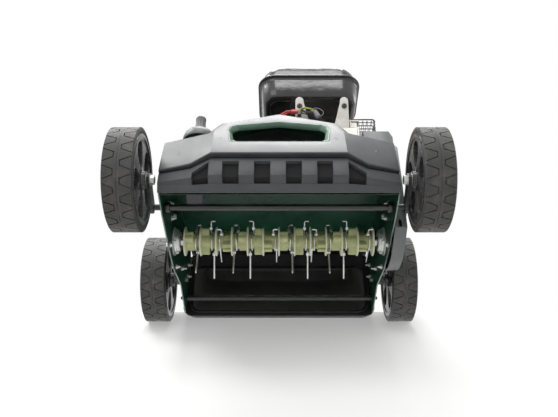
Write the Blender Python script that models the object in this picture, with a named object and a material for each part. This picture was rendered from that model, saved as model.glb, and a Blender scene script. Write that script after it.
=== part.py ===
"""Petrol scarifier: a 40 cm raking rotor in a steel deck, an engine on top, four wheels and a bag.

Metres, +Z up. The front faces -Y and the wheels stand on Z = 0. The origin is on the ground, under
the middle of the machine's length and width. +X is the belt side.
"""
import math

import bmesh
import bpy
import numpy as np
from mathutils import Matrix, Vector

for old in list(bpy.data.objects):
    bpy.data.objects.remove(old, do_unlink=True)

# Gaps between pieces that touch, and running clearances
GAP = 0.0003
RUNNING = 0.001

# Width over the side plates, which the wheels, cover, drive, handle and bag are set from
DECK_W = 0.455
PLATE_T = 0.0025
HALF_DECK = DECK_W / 2
INNER = HALF_DECK - PLATE_T

# Wheels
WHEEL_R = 0.100
WHEEL_W = 0.057
WHEEL_SPACE = 0.0305
TRACK = DECK_W + WHEEL_W + 2 * WHEEL_SPACE
WHEELBASE = 0.400
HUB_R = 0.017
WHEEL_BORE_R = 0.0065
TYRE_T = 0.020

# Handle, which sets the length of the machine
HANDLE_ANGLE = math.radians(50)
HANDLE_FOOT_BACK = 0.330
HANDLE_FOOT_Z = 0.150
LOWER_HANDLE_L = 0.460
UPPER_HANDLE_L = 0.500
HANDLE_R = 0.011
HANDLE_BEND_R = 0.060

HANDLE_L = LOWER_HANDLE_L + UPPER_HANDLE_L
LENGTH = WHEEL_R + HANDLE_FOOT_BACK + HANDLE_L * math.cos(HANDLE_ANGLE) + HANDLE_R
FRONT_AXLE_Y = WHEEL_R - LENGTH / 2

# Deck
SHEET_T = 0.002
DECK_Z = 0.204
DECK_END_BACK = 0.440
DECK_PATH = [(0.006, 0.071), (0.024, 0.112), (0.050, 0.148), (0.085, 0.178), (0.125, 0.197),
             (0.170, DECK_Z), (DECK_END_BACK, DECK_Z)]

# Front cover
COVER_T = 0.003
COVER_OVERHANG = 0.0005
COVER_W = DECK_W + 2 * COVER_OVERHANG
SLOT_W = 0.193
COVER_END_BACK = 0.096
CREASE_END_Z = 0.194
CREASE_RISE = 0.0079
HUMP_RISE = 0.0373
HUMP_PEAK = 0.0534
SLOT_Z = 0.1668
SLOT_H = 0.0672
SLOT_PEAK = 0.0175
SLOT_CUT = 0.010
CARRY_HALF = SLOT_W / 2 + 0.014
FLAT_SHARE = 0.28
FLANK_SHARE = 0.085
HUMP_SHARE = 0.2544
HUMP_FOOT_SHARE = 0.3026
COVER_STATIONS = [-0.5, -0.43, -FLAT_SHARE - FLANK_SHARE, -HUMP_FOOT_SHARE, -FLAT_SHARE, -HUMP_SHARE, 0,
                  HUMP_SHARE, FLAT_SHARE, HUMP_FOOT_SHARE, FLAT_SHARE + FLANK_SHARE, 0.43, 0.5]

# Depth knob and the lever plate it pushes
KNOB_X = -0.163
KNOB_BACK = 0.030
KNOB_Z = 0.228
KNOB_R = 0.034
KNOB_H = 0.054
KNOB_SCREW_R = 0.005
LEVER_W = 0.030
LEVER_TIP_Z = 0.102

# Rotor
BAYS = 12
BAY_PITCH = 0.0333
ROTOR_BACK = 0.200
ROTOR_Z = 0.085
SHAFT_R = 0.010
DISC_R = 0.0315
DISC_T = 0.004
CORE_R = 0.016
LOBE_R = 0.0285
COIL_SPACE = 0.0157
LOBE_W = BAY_PITCH - COIL_SPACE
LOBE_NEAR = DISC_T / 4 - BAY_PITCH / 2
TINE_R = 0.080
TINE_WIRE_R = 0.0017
TINE_HOOK_R = 0.043
COIL_PITCH = 0.0045
COIL_TURNS = 1.5
COIL_CLEAR = 0.0014
COIL_STEPS = 15
ROTOR_HALF = BAYS * BAY_PITCH / 2
REST_TILT = math.radians(-34)
LOBE_TURN = [-60, 0, 60]
TINE_TURN = [38, 0, -52]
BEARING_R = 0.031
BEARING_NECK_R = 0.020

# Front axle crank and cross rods
ARM_T = 0.006
HUB_INNER_X = TRACK / 2 - WHEEL_W / 2 - 0.006
SPINDLE_END = TRACK / 2 + WHEEL_W / 2 - 0.004
ROD_R = 0.0062
FRONT_ROD_BACK = 0.058
FRONT_ROD_Z = 0.0765
REAR_ROD_BACK = 0.436
REAR_ROD_Z = 0.068

# Belt drive
BELT_OFFSET = 0.013
BELT_X = HALF_DECK + BELT_OFFSET
BELT_T = 0.006
HOUSING_X = 0.198
HOUSING_Z = 0.300
HOUSING_TOP = 0.387
ROTOR_PULLEY_R = 0.040
ENGINE_PULLEY_R = 0.030
IDLER_R = 0.018
PULLEY_W = 0.013
CRANK_BACK = 0.235
CRANK_Z = 0.320
CRANK_R = 0.0125
PULLEY_SEAT_R = 0.0095
IDLER_BACK = 0.150
IDLER_Z = 0.205
IDLER_BORE_R = 0.004
IDLER_PIVOT_BACK = 0.105
IDLER_PIVOT_Z = 0.165
IDLER_STUD_R = 0.0045
IDLER_ARM_T = 0.003
IDLER_ARM_X = BELT_X - PULLEY_W / 2 - GAP

# Engine
CASE_X0 = 0.030
CASE_X1 = 0.188
CASE_FRONT_BACK = 0.165
CASE_REAR_BACK = 0.305
CASE_TOP_Z = 0.398
TANK_X = 0.074
TANK_W = 0.250
TANK_FRONT_BACK = 0.133
TANK_DEPTH = 0.180
TANK_SEAM_Z = 0.515
TANK_LOW_H = 0.059
TANK_TOP_H = 0.058
FLANGE = 0.006
CAP_OFFSET = 0.030
CYL_ANGLE = math.radians(25)
CYL_FOOT_Z = CRANK_Z + 0.016
CYL_HALF = 0.046
FIN_DEPTH = 0.012
FIN_T = 0.004
FIN_PITCH = 0.0125
FINS = 7
DIP_X = 0.055
DIP_ANGLE = math.radians(40)
RECOIL_X = -0.062
MUFFLER_R = 0.042
MUFFLER_BACK = 0.385
MUFFLER_Z = 0.485
CARB_FRONT_BACK = 0.350
CARB_LEFT_X = 0.0203
LEVER_STRIP_W = 0.010
LEVER_STRIP_T = 0.003

# Handle lines across the machine
HANDLE_X = HALF_DECK + GAP + HANDLE_R + 0.0005
UPPER_X = HANDLE_X - 2 * HANDLE_R - 0.0010
BRACE_UP = 0.330
BRACE_R = 0.008

# Bag
BAG_W = DECK_W - 0.003
BAG_BACK = 0.470
BAG_Z = 0.038
BAG_MOUTH_H = 0.150
BAG_L = 0.360
BAG_ANGLE = math.radians(41)
BAG_T = 0.004


def back(distance):
    """World Y of a point that lies a distance behind the front wheels' axle."""
    return FRONT_AXLE_Y + distance


def paint(name, colour, roughness, metallic=0.0):
    """One Principled material."""
    finish = bpy.data.materials.new(name)
    finish.use_nodes = True
    shader = finish.node_tree.nodes["Principled BSDF"]
    shader.inputs["Base Color"].default_value = (*colour, 1)
    shader.inputs["Roughness"].default_value = roughness
    shader.inputs["Metallic"].default_value = metallic
    return finish


FINISHES = {
    "green paint": ((0.006, 0.055, 0.03), 0.35, 0.0),
    "black plastic": ((0.02, 0.02, 0.022), 0.45, 0.0),
    "grey plastic": ((0.06, 0.06, 0.065), 0.5, 0.0),
    "black paint": ((0.01, 0.01, 0.01), 0.35, 0.2),
    "tyre": ((0.03, 0.03, 0.03), 0.75, 0.0),
    "nylon": ((0.55, 0.6, 0.35), 0.4, 0.0),
    "steel": ((0.55, 0.55, 0.55), 0.3, 1.0),
    "cast aluminium": ((0.6, 0.6, 0.58), 0.45, 1.0),
    "bag cloth": ((0.015, 0.015, 0.016), 0.9, 0.0),
    "belt rubber": ((0.02, 0.02, 0.02), 0.8, 0.0),
    "red wire": ((0.6, 0.03, 0.02), 0.4, 0.0),
}


def add(name, data, finish, pivot):
    """An object whose origin is at the pivot. Its data is given in world coordinates."""
    data.transform(Matrix.Translation(-Vector(pivot)))
    item = bpy.data.objects.new(name, data)
    item.location = pivot
    colour, roughness, metallic = FINISHES[finish]
    item.data.materials.append(paint(name, colour, roughness, metallic))
    bpy.context.scene.collection.objects.link(item)
    return item


def solid(name, shape, finish, pivot=(0, 0, 0), smooth=40):
    """A named piece from a bmesh."""
    bmesh.ops.remove_doubles(shape, verts=shape.verts, dist=0.00001)
    bmesh.ops.recalc_face_normals(shape, faces=shape.faces)
    mesh = bpy.data.meshes.new(name)
    shape.to_mesh(mesh)
    shape.free()
    mesh.shade_smooth()
    mesh.set_sharp_from_angle(angle=math.radians(smooth))
    return add(name, mesh, finish, pivot)


def box(low, high):
    """A bmesh box between two corners."""
    shape = bmesh.new()
    bmesh.ops.create_cube(shape, size=1)
    size = Vector(high) - Vector(low)
    middle = (Vector(high) + Vector(low)) / 2
    bmesh.ops.transform(shape, matrix=Matrix.Translation(middle) @ Matrix.Diagonal((*size, 1)),
                        verts=shape.verts)
    return shape


def slab(outline, x0, x1, holes=()):
    """An outline in the side view, as (behind the front axle, Z), made solid from x0 to x1."""
    shape = bmesh.new()
    edges = []
    for loop in (outline, *holes):
        verts = [shape.verts.new((x0, back(s), z)) for s, z in loop]
        edges += [shape.edges.new((verts[i - 1], verts[i])) for i in range(len(verts))]
    bmesh.ops.triangle_fill(shape, use_beauty=True, edges=edges)
    grown = bmesh.ops.extrude_face_region(shape, geom=shape.faces[:])["geom"]
    moved = [item for item in grown if isinstance(item, bmesh.types.BMVert)]
    bmesh.ops.translate(shape, vec=(x1 - x0, 0, 0), verts=moved)
    return shape


def circle(s, z, radius, steps=20):
    """Points of a round outline in the side view."""
    turns = [math.tau * i / steps for i in range(steps)]
    return [(s + radius * math.cos(a), z + radius * math.sin(a)) for a in turns]


def strip(path, thickness):
    """The outline of a bent sheet: a path in the side view, made thick on its left hand."""
    points = [Vector(p) for p in path]
    inner = []
    for i, point in enumerate(points):
        ahead = (points[min(i + 1, len(points) - 1)] - points[min(i, len(points) - 2)]).normalized()
        behind = (points[max(i, 1)] - points[max(i - 1, 0)]).normalized()
        across = (ahead + behind).normalized()
        spread = thickness / max(across.dot(ahead), 0.5)
        inner.append(point + spread * Vector((-across.y, across.x)))
    return [tuple(p) for p in points + inner[::-1]]


def turned(profile, axis_at, axis="X", steps=32, closed=False):
    """A turned solid. The profile is (radius, place along the axis), from end to end."""
    shape = bmesh.new()
    for r, a in profile:
        shape.verts.new((a, r, 0))
    shape.verts.ensure_lookup_table()
    count = len(profile)
    for i in range(count if closed else count - 1):
        shape.edges.new((shape.verts[i], shape.verts[(i + 1) % count]))
    bmesh.ops.spin(shape, geom=shape.verts[:] + shape.edges[:], axis=(1, 0, 0), cent=(0, 0, 0),
                   angle=math.tau, steps=steps, use_merge=True)
    turn = {"X": Matrix(), "Y": Matrix.Rotation(math.pi / 2, 4, "Z"),
            "Z": Matrix.Rotation(-math.pi / 2, 4, "Y")}[axis]
    bmesh.ops.transform(shape, matrix=Matrix.Translation(axis_at) @ turn, verts=shape.verts)
    return shape


def rod(start, end, radius, steps=16):
    """A bmesh cylinder from start to end."""
    start, end = Vector(start), Vector(end)
    shape = bmesh.new()
    bmesh.ops.create_cone(shape, cap_ends=True, segments=steps, radius1=radius, radius2=radius,
                          depth=(end - start).length)
    turn = (end - start).to_track_quat("Z", "Y").to_matrix().to_4x4()
    bmesh.ops.transform(shape, matrix=Matrix.Translation((start + end) / 2) @ turn,
                        verts=shape.verts)
    return shape


def tube(name, points, radius, finish, pivot=(0, 0, 0), sides=2, closed=False):
    """A round bar or wire along a list of points."""
    curve = bpy.data.curves.new(name, "CURVE")
    curve.dimensions = "3D"
    spline = curve.splines.new("POLY")
    spline.points.add(len(points) - 1)
    for place, point in zip(spline.points, points):
        place.co = (*point, 1)
    spline.use_cyclic_u = closed
    spline.use_smooth = True
    curve.bevel_depth = radius
    curve.bevel_resolution = sides
    curve.use_fill_caps = not closed
    return add(name, curve, finish, pivot)


def rounded(points, radius, steps=5):
    """A path of straight runs with an arc at each corner."""
    corners = [Vector(p) for p in points]
    path = [corners[0]]
    for before, corner, after in zip(corners, corners[1:], corners[2:]):
        inward, outward = (before - corner).normalized(), (after - corner).normalized()
        half = inward.angle(outward) / 2
        reach = radius / math.tan(half)
        centre = corner + (inward + outward).normalized() * radius / math.sin(half)
        first = corner + inward * reach - centre
        last = corner + outward * reach - centre
        sweep = first.angle(last)
        for i in range(steps + 1):
            t = i / steps
            arm = (first * math.sin((1 - t) * sweep) + last * math.sin(t * sweep)) / math.sin(sweep)
            path.append(centre + arm)
    path.append(corners[-1])
    return path


def carve(item, cutter_shape, operation="DIFFERENCE"):
    """Cuts a shape out of a piece, or joins it on with UNION."""
    mesh = bpy.data.meshes.new(item.name + "_tool")
    bmesh.ops.recalc_face_normals(cutter_shape, faces=cutter_shape.faces)
    cutter_shape.to_mesh(mesh)
    cutter_shape.free()
    cutter = bpy.data.objects.new(item.name + "_tool", mesh)
    cutter.hide_render = True
    cutter.display_type = "WIRE"
    bpy.context.scene.collection.objects.link(cutter)
    step = item.modifiers.new(operation.lower(), "BOOLEAN")
    step.operation = operation
    step.solver = "EXACT"
    step.object = cutter
    return item


def soften(item, width, segments=1, angle=30):
    """Rounds a piece's hard edges."""
    bevel = item.modifiers.new("edges", "BEVEL")
    bevel.width = width
    bevel.segments = segments
    bevel.limit_method = "ANGLE"
    bevel.angle_limit = math.radians(angle)
    return item


def merged(*shapes):
    """Several bmesh shapes in one, for use as one cutter."""
    whole = bmesh.new()
    for shape in shapes:
        mesh = bpy.data.meshes.new("joined")
        shape.to_mesh(mesh)
        shape.free()
        whole.from_mesh(mesh)
        bpy.data.meshes.remove(mesh)
    return whole


# Side plates, laser cut, lowest beside the rotor, each with a stub axle for its rear wheel
def side_plates():
    low = ROTOR_Z - 0.0475
    outline = [(0.000, low + 0.0285), (0.054, low + 0.0165), (0.148, low + 0.005),
               (0.236, low), (0.347, low + 0.0195), (REAR_ROD_BACK + 0.014, low - 0.0020),
               (REAR_ROD_BACK + 0.026, low + 0.0005), (REAR_ROD_BACK + 0.022, REAR_ROD_Z + 0.022),
               (REAR_ROD_BACK + 0.022, DECK_Z - 0.010), (REAR_ROD_BACK + 0.006, DECK_Z + 0.008),
               (COVER_END_BACK + 0.004, DECK_Z + 0.008),
               (COVER_END_BACK + 0.002, CREASE_END_Z - 0.010), (0.014, CREASE_END_Z - 0.016),
               (0.000, 0.150)]
    rod_hole = ROD_R + RUNNING
    holes = [circle(FRONT_ROD_BACK, FRONT_ROD_Z, rod_hole, 12),
             circle(REAR_ROD_BACK, REAR_ROD_Z, ROD_R * 0.6 + GAP, 12),
             circle(ROTOR_BACK, ROTOR_Z, BEARING_NECK_R + GAP, 16)]
    for side, label in ((-1, "left"), (1, "right")):
        x0, x1 = sorted((side * INNER, side * HALF_DECK))
        plate = solid(f"side_plate_{label}", slab(outline, x0, x1, holes), "green paint")
        carve(plate, rear_spindle(side), "UNION")
        if side > 0:
            carve(plate, rod((INNER + GAP, back(IDLER_PIVOT_BACK), IDLER_PIVOT_Z),
                             (IDLER_ARM_X + 0.001, back(IDLER_PIVOT_BACK), IDLER_PIVOT_Z),
                             IDLER_STUD_R, 12), "UNION")


def rear_spindle(side):
    """The rear wheel's stub axle, welded through the side plate."""
    flange = side * HALF_DECK
    step = side * (HUB_INNER_X - RUNNING)
    end = side * SPINDLE_END
    inner = side * (INNER - 0.007)
    thin = WHEEL_BORE_R - GAP
    profile = [(0, inner), (thin, inner), (thin, flange), (0.014, flange), (0.012, step),
               (thin, step), (thin, end), (0, end)]
    return turned(profile, (0, back(WHEELBASE), WHEEL_R), steps=16)


# Bearing housings, pressed steel cups bolted inside the side plates
def bearings():
    bore = SHAFT_R + GAP
    for side, label in ((-1, "left"), (1, "right")):
        face = side * (INNER - GAP)
        profile = [(bore, face), (BEARING_R, face), (BEARING_R, face - side * 0.004),
                   (0.024, face - side * 0.006), (0.021, face - side * 0.015),
                   (bore, face - side * 0.015)]
        shape = turned(profile, (0, back(ROTOR_BACK), ROTOR_Z), steps=20, closed=True)
        solid(f"bearing_housing_{label}", shape, "steel")


# Deck shell, folded from sheet: front wall, curve over the rotor, flat top, and the carry panel
def carry_panel():
    """The folded panel behind the cover that the hand grips, higher in the middle."""
    shape = bmesh.new()
    rows = []
    for x in (-CARRY_HALF, 0, CARRY_HALF):
        crown, crease = cover_crown(x / COVER_W)
        top = crown.y - COVER_T - 0.006
        path = [(0.0508, 0.146), (-0.034, 0.146), (crease.x + 0.0085, crease.y - 0.003),
                (crown.x + 0.0075, top), (crown.x + 0.034, top)]
        rows.append([shape.verts.new((x, back(s), z)) for s, z in strip(path, -SHEET_T)])
    for left, right in zip(rows, rows[1:]):
        for i in range(len(left)):
            shape.faces.new((left[i - 1], left[i], right[i], right[i - 1]))
    shape.faces.new(rows[0])
    shape.faces.new(rows[-1])
    bmesh.ops.triangulate(shape, faces=shape.faces)
    return shape


def slot_outline(grow=0.0):
    """The carry slot in the front view, with its peaked top edge."""
    half = SLOT_W / 2 + grow
    low, high = SLOT_Z - grow, SLOT_Z + SLOT_H + grow
    cut = SLOT_CUT
    return [(-half + cut, low), (half - cut, low), (half, low + cut), (half, high - cut),
            (half - cut, high), (0, high + SLOT_PEAK), (-half + cut, high), (-half, high - cut),
            (-half, low + cut)]


def slot_prism(grow=0.0):
    """The carry slot as a cutter that runs back through the cover and the carry panel."""
    shape = bmesh.new()
    face = shape.faces.new([shape.verts.new((x, back(-0.090), z)) for x, z in slot_outline(grow)])
    grown = bmesh.ops.extrude_face_region(shape, geom=[face])["geom"]
    moved = [item for item in grown if isinstance(item, bmesh.types.BMVert)]
    bmesh.ops.translate(shape, vec=(0, 0.130, 0.012), verts=moved)
    return shape


def deck():
    half = INNER - GAP
    shell = solid("deck_shell", slab(strip(DECK_PATH, -SHEET_T), -half, half), "green paint")
    carve(shell, carry_panel(), "UNION")
    carve(shell, slot_prism(-0.004))
    carve(shell, rod((KNOB_X, back(KNOB_BACK), 0.08), (KNOB_X, back(KNOB_BACK), 0.16),
                     KNOB_SCREW_R + RUNNING, 12))
    return shell


# Front cover: one moulding whose middle stands forward of its ends and rises to a peaked hump
def cover_crown(share):
    """The crown and the crease below it, at a share of the cover's width."""
    side = abs(share)
    nose = 1 - min(max((side - FLAT_SHARE) / (0.5 - FLAT_SHARE), 0), 1)
    crease = Vector((0.004 - 0.024 * nose, CREASE_END_Z + CREASE_RISE * nose))
    slope = 1 - min(side, HUMP_SHARE) / FLAT_SHARE
    ridge = Vector((0.0284 * slope, CREASE_END_Z + CREASE_RISE + HUMP_RISE + HUMP_PEAK * slope))
    hump = min(max((HUMP_FOOT_SHARE - side) / (HUMP_FOOT_SHARE - HUMP_SHARE), 0), 1)
    return (crease + Vector((0.008, 0.006))).lerp(ridge, hump), crease


def cover_profile(share):
    """The cover's front surface at a share of its width, from the rear lip to the lower edge."""
    side = abs(share)
    nose = 1 - min(max((side - FLAT_SHARE) / (0.5 - FLAT_SHARE), 0), 1)
    flank = min(max((side - FLAT_SHARE) / FLANK_SHARE, 0), 1)
    crown, crease = cover_crown(share)
    return [(COVER_END_BACK, DECK_Z + 0.001), (COVER_END_BACK - 0.006, crown.y - 0.002),
            (crown.x + 0.030, crown.y + 0.002), tuple(crown), tuple(crease),
            (-0.018 - 0.034 * nose, 0.110 + 0.016 * (1 - flank)),
            (-0.014 - 0.028 * nose, 0.104 + 0.016 * (1 - flank)), (-0.016 - 0.024 * nose, 0.082),
            (-0.006, 0.0665)]


def front_cover():
    shape = bmesh.new()
    rows = []
    for share in COVER_STATIONS:
        x = share * COVER_W
        rows.append([shape.verts.new((x, back(s), z)) for s, z in cover_profile(share)])
    for left, right in zip(rows, rows[1:]):
        for i in range(len(left) - 1):
            shape.faces.new((left[i], right[i], right[i + 1], left[i + 1]))
    bmesh.ops.recalc_face_normals(shape, faces=shape.faces)
    outward = sum((face.normal.z for face in shape.faces if face.calc_center_median().z > 0.2), 0.0)
    if outward < 0:
        bmesh.ops.reverse_faces(shape, faces=shape.faces)
    mesh = bpy.data.meshes.new("front_cover")
    shape.to_mesh(mesh)
    shape.free()
    mesh.shade_smooth()
    mesh.set_sharp_from_angle(angle=math.radians(25))
    cover = add("front_cover", mesh, "black plastic", (0, 0, 0))
    wall = cover.modifiers.new("wall", "SOLIDIFY")
    wall.thickness = COVER_T
    wall.offset = -1
    wall.use_even_offset = True
    carve(cover, slot_prism(0.004))
    carve(cover, rod((KNOB_X, back(KNOB_BACK), 0.15), (KNOB_X, back(KNOB_BACK), 0.30), 0.011, 12))
    return cover


# Depth knob on its screw, which pushes the front axle's lever plate
def depth_knob():
    top, crown = KNOB_Z, KNOB_Z + KNOB_H
    profile = [(0, crown), (0.010, crown), (0.011, crown - 0.002), (0.0115, top + 0.014),
               (0.020, top + 0.013), (KNOB_R - 0.002, top + 0.008), (KNOB_R, top + 0.004),
               (KNOB_R - 0.002, top), (KNOB_SCREW_R, top), (KNOB_SCREW_R, LEVER_TIP_Z + 0.004),
               (0, LEVER_TIP_Z + 0.004)]
    shape = turned(profile, (KNOB_X, back(KNOB_BACK), 0), "Z", 24)
    solid("depth_knob", shape, "grey plastic", (KNOB_X, back(KNOB_BACK), KNOB_Z))


# Front axle: a cross rod through both side plates, with an arm and a wheel spindle at each end
def front_axle():
    arm_in = HUB_INNER_X - RUNNING - ARM_T
    arm_out = HUB_INNER_X - RUNNING
    pivot = (0, back(FRONT_ROD_BACK), FRONT_ROD_Z)
    span = arm_in + ARM_T / 2
    axle = solid("front_axle_crank", rod((-span, pivot[1], pivot[2]), (span, pivot[1], pivot[2]),
                                         ROD_R), "black paint", pivot)
    reach = Vector((0 - FRONT_ROD_BACK, WHEEL_R - FRONT_ROD_Z))
    along = reach.normalized()
    across = Vector((-along.y, along.x))
    root = Vector((FRONT_ROD_BACK, FRONT_ROD_Z))
    tip = Vector((0, WHEEL_R))
    outline = []
    for centre, start in ((root, 90), (tip, 270)):
        for i in range(7):
            turn = math.radians(start + 30 * i)
            outline.append(tuple(centre + 0.0125 * (along * math.cos(turn) + across * math.sin(turn))))
    for side in (-1, 1):
        x0, x1 = sorted((side * arm_in, side * arm_out))
        carve(axle, slab(outline, x0, x1), "UNION")
        near = side * (arm_in - 0.007)
        carve(axle, rod((near, back(0), WHEEL_R), (side * SPINDLE_END, back(0), WHEEL_R),
                        WHEEL_BORE_R - GAP, 12), "UNION")
    lever = [(FRONT_ROD_BACK + 0.005, FRONT_ROD_Z), (FRONT_ROD_BACK - 0.001, FRONT_ROD_Z + 0.006),
             (KNOB_BACK - 0.006, LEVER_TIP_Z), (KNOB_BACK - 0.008, LEVER_TIP_Z - 0.004)]
    carve(axle, slab(lever, KNOB_X - LEVER_W / 2, KNOB_X + LEVER_W / 2), "UNION")
    return axle


# Rear cross rod, shouldered, with threaded ends through the side plates
def rear_rod():
    shoulder = INNER - GAP
    thin = ROD_R * 0.6
    end = HALF_DECK + 0.010
    profile = [(0, -end), (thin, -end), (thin, -shoulder), (ROD_R, -shoulder), (ROD_R, shoulder),
               (thin, shoulder), (thin, end), (0, end)]
    shape = turned(profile, (0, back(REAR_ROD_BACK), REAR_ROD_Z), steps=16)
    solid("rear_cross_rod", shape, "black paint")


# Wheels: a thick moulded disc with five petal openings right through it, and a block tread
def wheel(name, side, behind):
    mid = side * TRACK / 2
    half = WHEEL_W / 2
    bore = WHEEL_BORE_R
    rim = WHEEL_R - TYRE_T
    profile = [(bore, -half - 0.006), (HUB_R, -half - 0.006),
               (HUB_R + 0.0015, -half + 0.0023), (rim - 0.002, -half + 0.0023),
               (rim, -half), (WHEEL_R - 0.006, -half),
               (WHEEL_R, -half + 0.008), (WHEEL_R, half - 0.008), (WHEEL_R - 0.006, half),
               (rim, half), (rim - 0.004, 0.004), (HUB_R + 0.002, 0.002), (HUB_R, half - 0.006),
               (bore, half - 0.006)]
    shape = turned([(r, side * a) for r, a in profile], (mid, back(behind), WHEEL_R), steps=28,
                   closed=True)
    item = solid(name, shape, "tyre", (mid, back(behind), WHEEL_R), 35)
    petals = []
    for i in range(5):
        turn = math.tau * i / 5
        centre = Vector((math.cos(turn), math.sin(turn)))
        side_way = Vector((-centre.y, centre.x))
        outline = []
        for j in range(10):
            a = math.tau * j / 10
            along = (0.0205 + 0.0085 * math.cos(a)) * math.sin(a)
            place = centre * (0.0495 + 0.0255 * math.cos(a)) + side_way * along
            outline.append((behind + place.x, WHEEL_R + place.y))
        petals.append(slab(outline, mid - half - 0.002, mid + half + 0.002))
    carve(item, merged(*petals))


# Rotor: shaft, nylon hub stack with 13 discs, and one spring wire in each bay
def bay_middle(bay):
    """X of the middle of a bay between two discs."""
    return -ROTOR_HALF + (bay + 0.5) * BAY_PITCH


def bay_hand(bay):
    """Lobes and wires change sides every third bay."""
    return -1 if (bay + 1) // 3 % 2 else 1


def rotor():
    y, z = back(ROTOR_BACK), ROTOR_Z
    pivot = (0, y, z)
    thick = SHAFT_R
    thin = SHAFT_R - 0.002
    pulley_end = BELT_X + PULLEY_W / 2 + 0.003
    profile = [(0, -INNER + 0.001), (thick, -INNER + 0.001), (thick, HALF_DECK + 0.001),
               (thin, HALF_DECK + 0.001), (thin, pulley_end), (0, pulley_end)]
    solid("rotor_shaft", turned(profile, pivot, steps=16), "steel", pivot)
    bore = SHAFT_R + GAP
    outline = [(bore, -ROTOR_HALF - DISC_T / 2)]
    for i in range(BAYS + 1):
        x = -ROTOR_HALF + i * BAY_PITCH
        low, high = x - DISC_T / 2, x + DISC_T / 2
        if i > 0:
            outline.append((CORE_R, low))
        outline += [(DISC_R - 0.001, low), (DISC_R, x), (DISC_R - 0.001, high)]
        if i < BAYS:
            outline.append((CORE_R, high))
    outline.append((bore, ROTOR_HALF + DISC_T / 2))
    hub = solid("rotor_hub_stack", turned(outline, pivot, steps=16, closed=True), "nylon", pivot)
    lobes = []
    for i in range(BAYS):
        x = bay_middle(i) + min(bay_hand(i) * LOBE_NEAR, bay_hand(i) * (LOBE_NEAR + LOBE_W))
        turn = REST_TILT + math.radians(LOBE_TURN[i % 3])
        for facing in (0, math.pi):
            shape = box((x, -0.010, SHAFT_R + 0.002), (x + LOBE_W, 0.010, LOBE_R))
            spin = Matrix.Translation(pivot) @ Matrix.Rotation(-turn + facing, 4, "X")
            bmesh.ops.transform(shape, matrix=spin, verts=shape.verts)
            lobes.append(shape)
    carve(hub, merged(*lobes), "UNION")


def tine_points(bay):
    """The wire of one bay: hooked end, a turn and a half round the core, long free leg."""
    turn = math.radians(180) + REST_TILT + math.radians(TINE_TURN[bay % 3])
    out = Vector((0, math.sin(turn), math.cos(turn)))
    round_r = CORE_R + TINE_WIRE_R + COIL_CLEAR
    hand = bay_hand(bay)
    first_x = bay_middle(bay) + hand * (LOBE_NEAR + LOBE_W + TINE_WIRE_R + RUNNING)
    last_x = first_x + hand * COIL_TURNS * COIL_PITCH
    centre = Vector((0, back(ROTOR_BACK), ROTOR_Z))
    points = []
    hook = Vector((first_x, 0, 0))
    for reach, slide in ((TINE_HOOK_R, 0.009), (TINE_HOOK_R, 0.003), (TINE_HOOK_R - 0.003, 0.0),
                         (round_r + 0.006, 0.0)):
        points.append(centre + hook + Vector((hand * slide, 0, 0)) - out * reach)
    for i in range(COIL_STEPS + 1):
        t = i / COIL_STEPS
        angle = turn + math.pi + t * COIL_TURNS * math.tau
        ease = round_r + 0.003 * max(1 - 6 * t, 6 * t - 5, 0)
        place = Vector((first_x + (last_x - first_x) * t, math.sin(angle) * ease,
                        math.cos(angle) * ease))
        points.append(centre + place)
    last = Vector((last_x, 0, 0))
    for reach in (round_r + 0.008, 0.048, TINE_R):
        points.append(centre + last + out * reach)
    return points


def least_gap(points, radius):
    """The least gap of a wire to itself, away from its own neighbourhood."""
    dense = []
    for start, end in zip(points, points[1:]):
        count = max(2, int((end - start).length / 0.0006))
        dense += [start.lerp(end, i / count) for i in range(count)]
    spots = np.array([tuple(p) for p in dense])
    travel = np.concatenate(([0], np.cumsum(np.linalg.norm(np.diff(spots, axis=0), axis=1))))
    least = 1.0
    for i, spot in enumerate(spots):
        far = np.abs(travel - travel[i]) > 0.018
        if far.any():
            least = min(least, float(np.linalg.norm(spots[far] - spot, axis=1).min()))
    return least - 2 * radius


def tines():
    pivot = (0, back(ROTOR_BACK), ROTOR_Z)
    for bay in range(BAYS):
        points = tine_points(bay)
        tube(f"spring_tine_{bay + 1:02d}", points, TINE_WIRE_R, "steel", pivot, 1)
        if bay < 3:
            print("tine", bay + 1, "least gap mm", round(least_gap(points, TINE_WIRE_R) * 1000, 2))


# Belt drive: two grooved pulleys, the belt, and an idler on a swinging arm
def pulley(name, s, z, radius, bore, finish):
    half = PULLEY_W / 2
    groove = BELT_T + GAP
    profile = [(bore, -half), (radius, -half), (radius, -half + 0.0015), (radius - groove, -0.0032),
               (radius - groove, 0.0032), (radius, half - 0.0015), (radius, half), (bore, half)]
    place = (BELT_X, back(s), z)
    solid(name, turned(profile, place, steps=24, closed=True), finish, place)


def tangent_loop(first, first_r, second, second_r, steps=9):
    """The outline of a belt round two pulleys in the side view."""
    first, second = Vector(first), Vector(second)
    run = second - first
    lean = math.atan2(run.y, run.x)
    open_angle = math.acos((first_r - second_r) / run.length)
    loop = []
    for i in range(steps + 1):
        turn = lean + open_angle + (math.tau - 2 * open_angle) * i / steps
        loop.append((first.x + first_r * math.cos(turn), first.y + first_r * math.sin(turn)))
    for i in range(steps + 1):
        turn = lean - open_angle + 2 * open_angle * i / steps
        loop.append((second.x + second_r * math.cos(turn), second.y + second_r * math.sin(turn)))
    return loop


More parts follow.
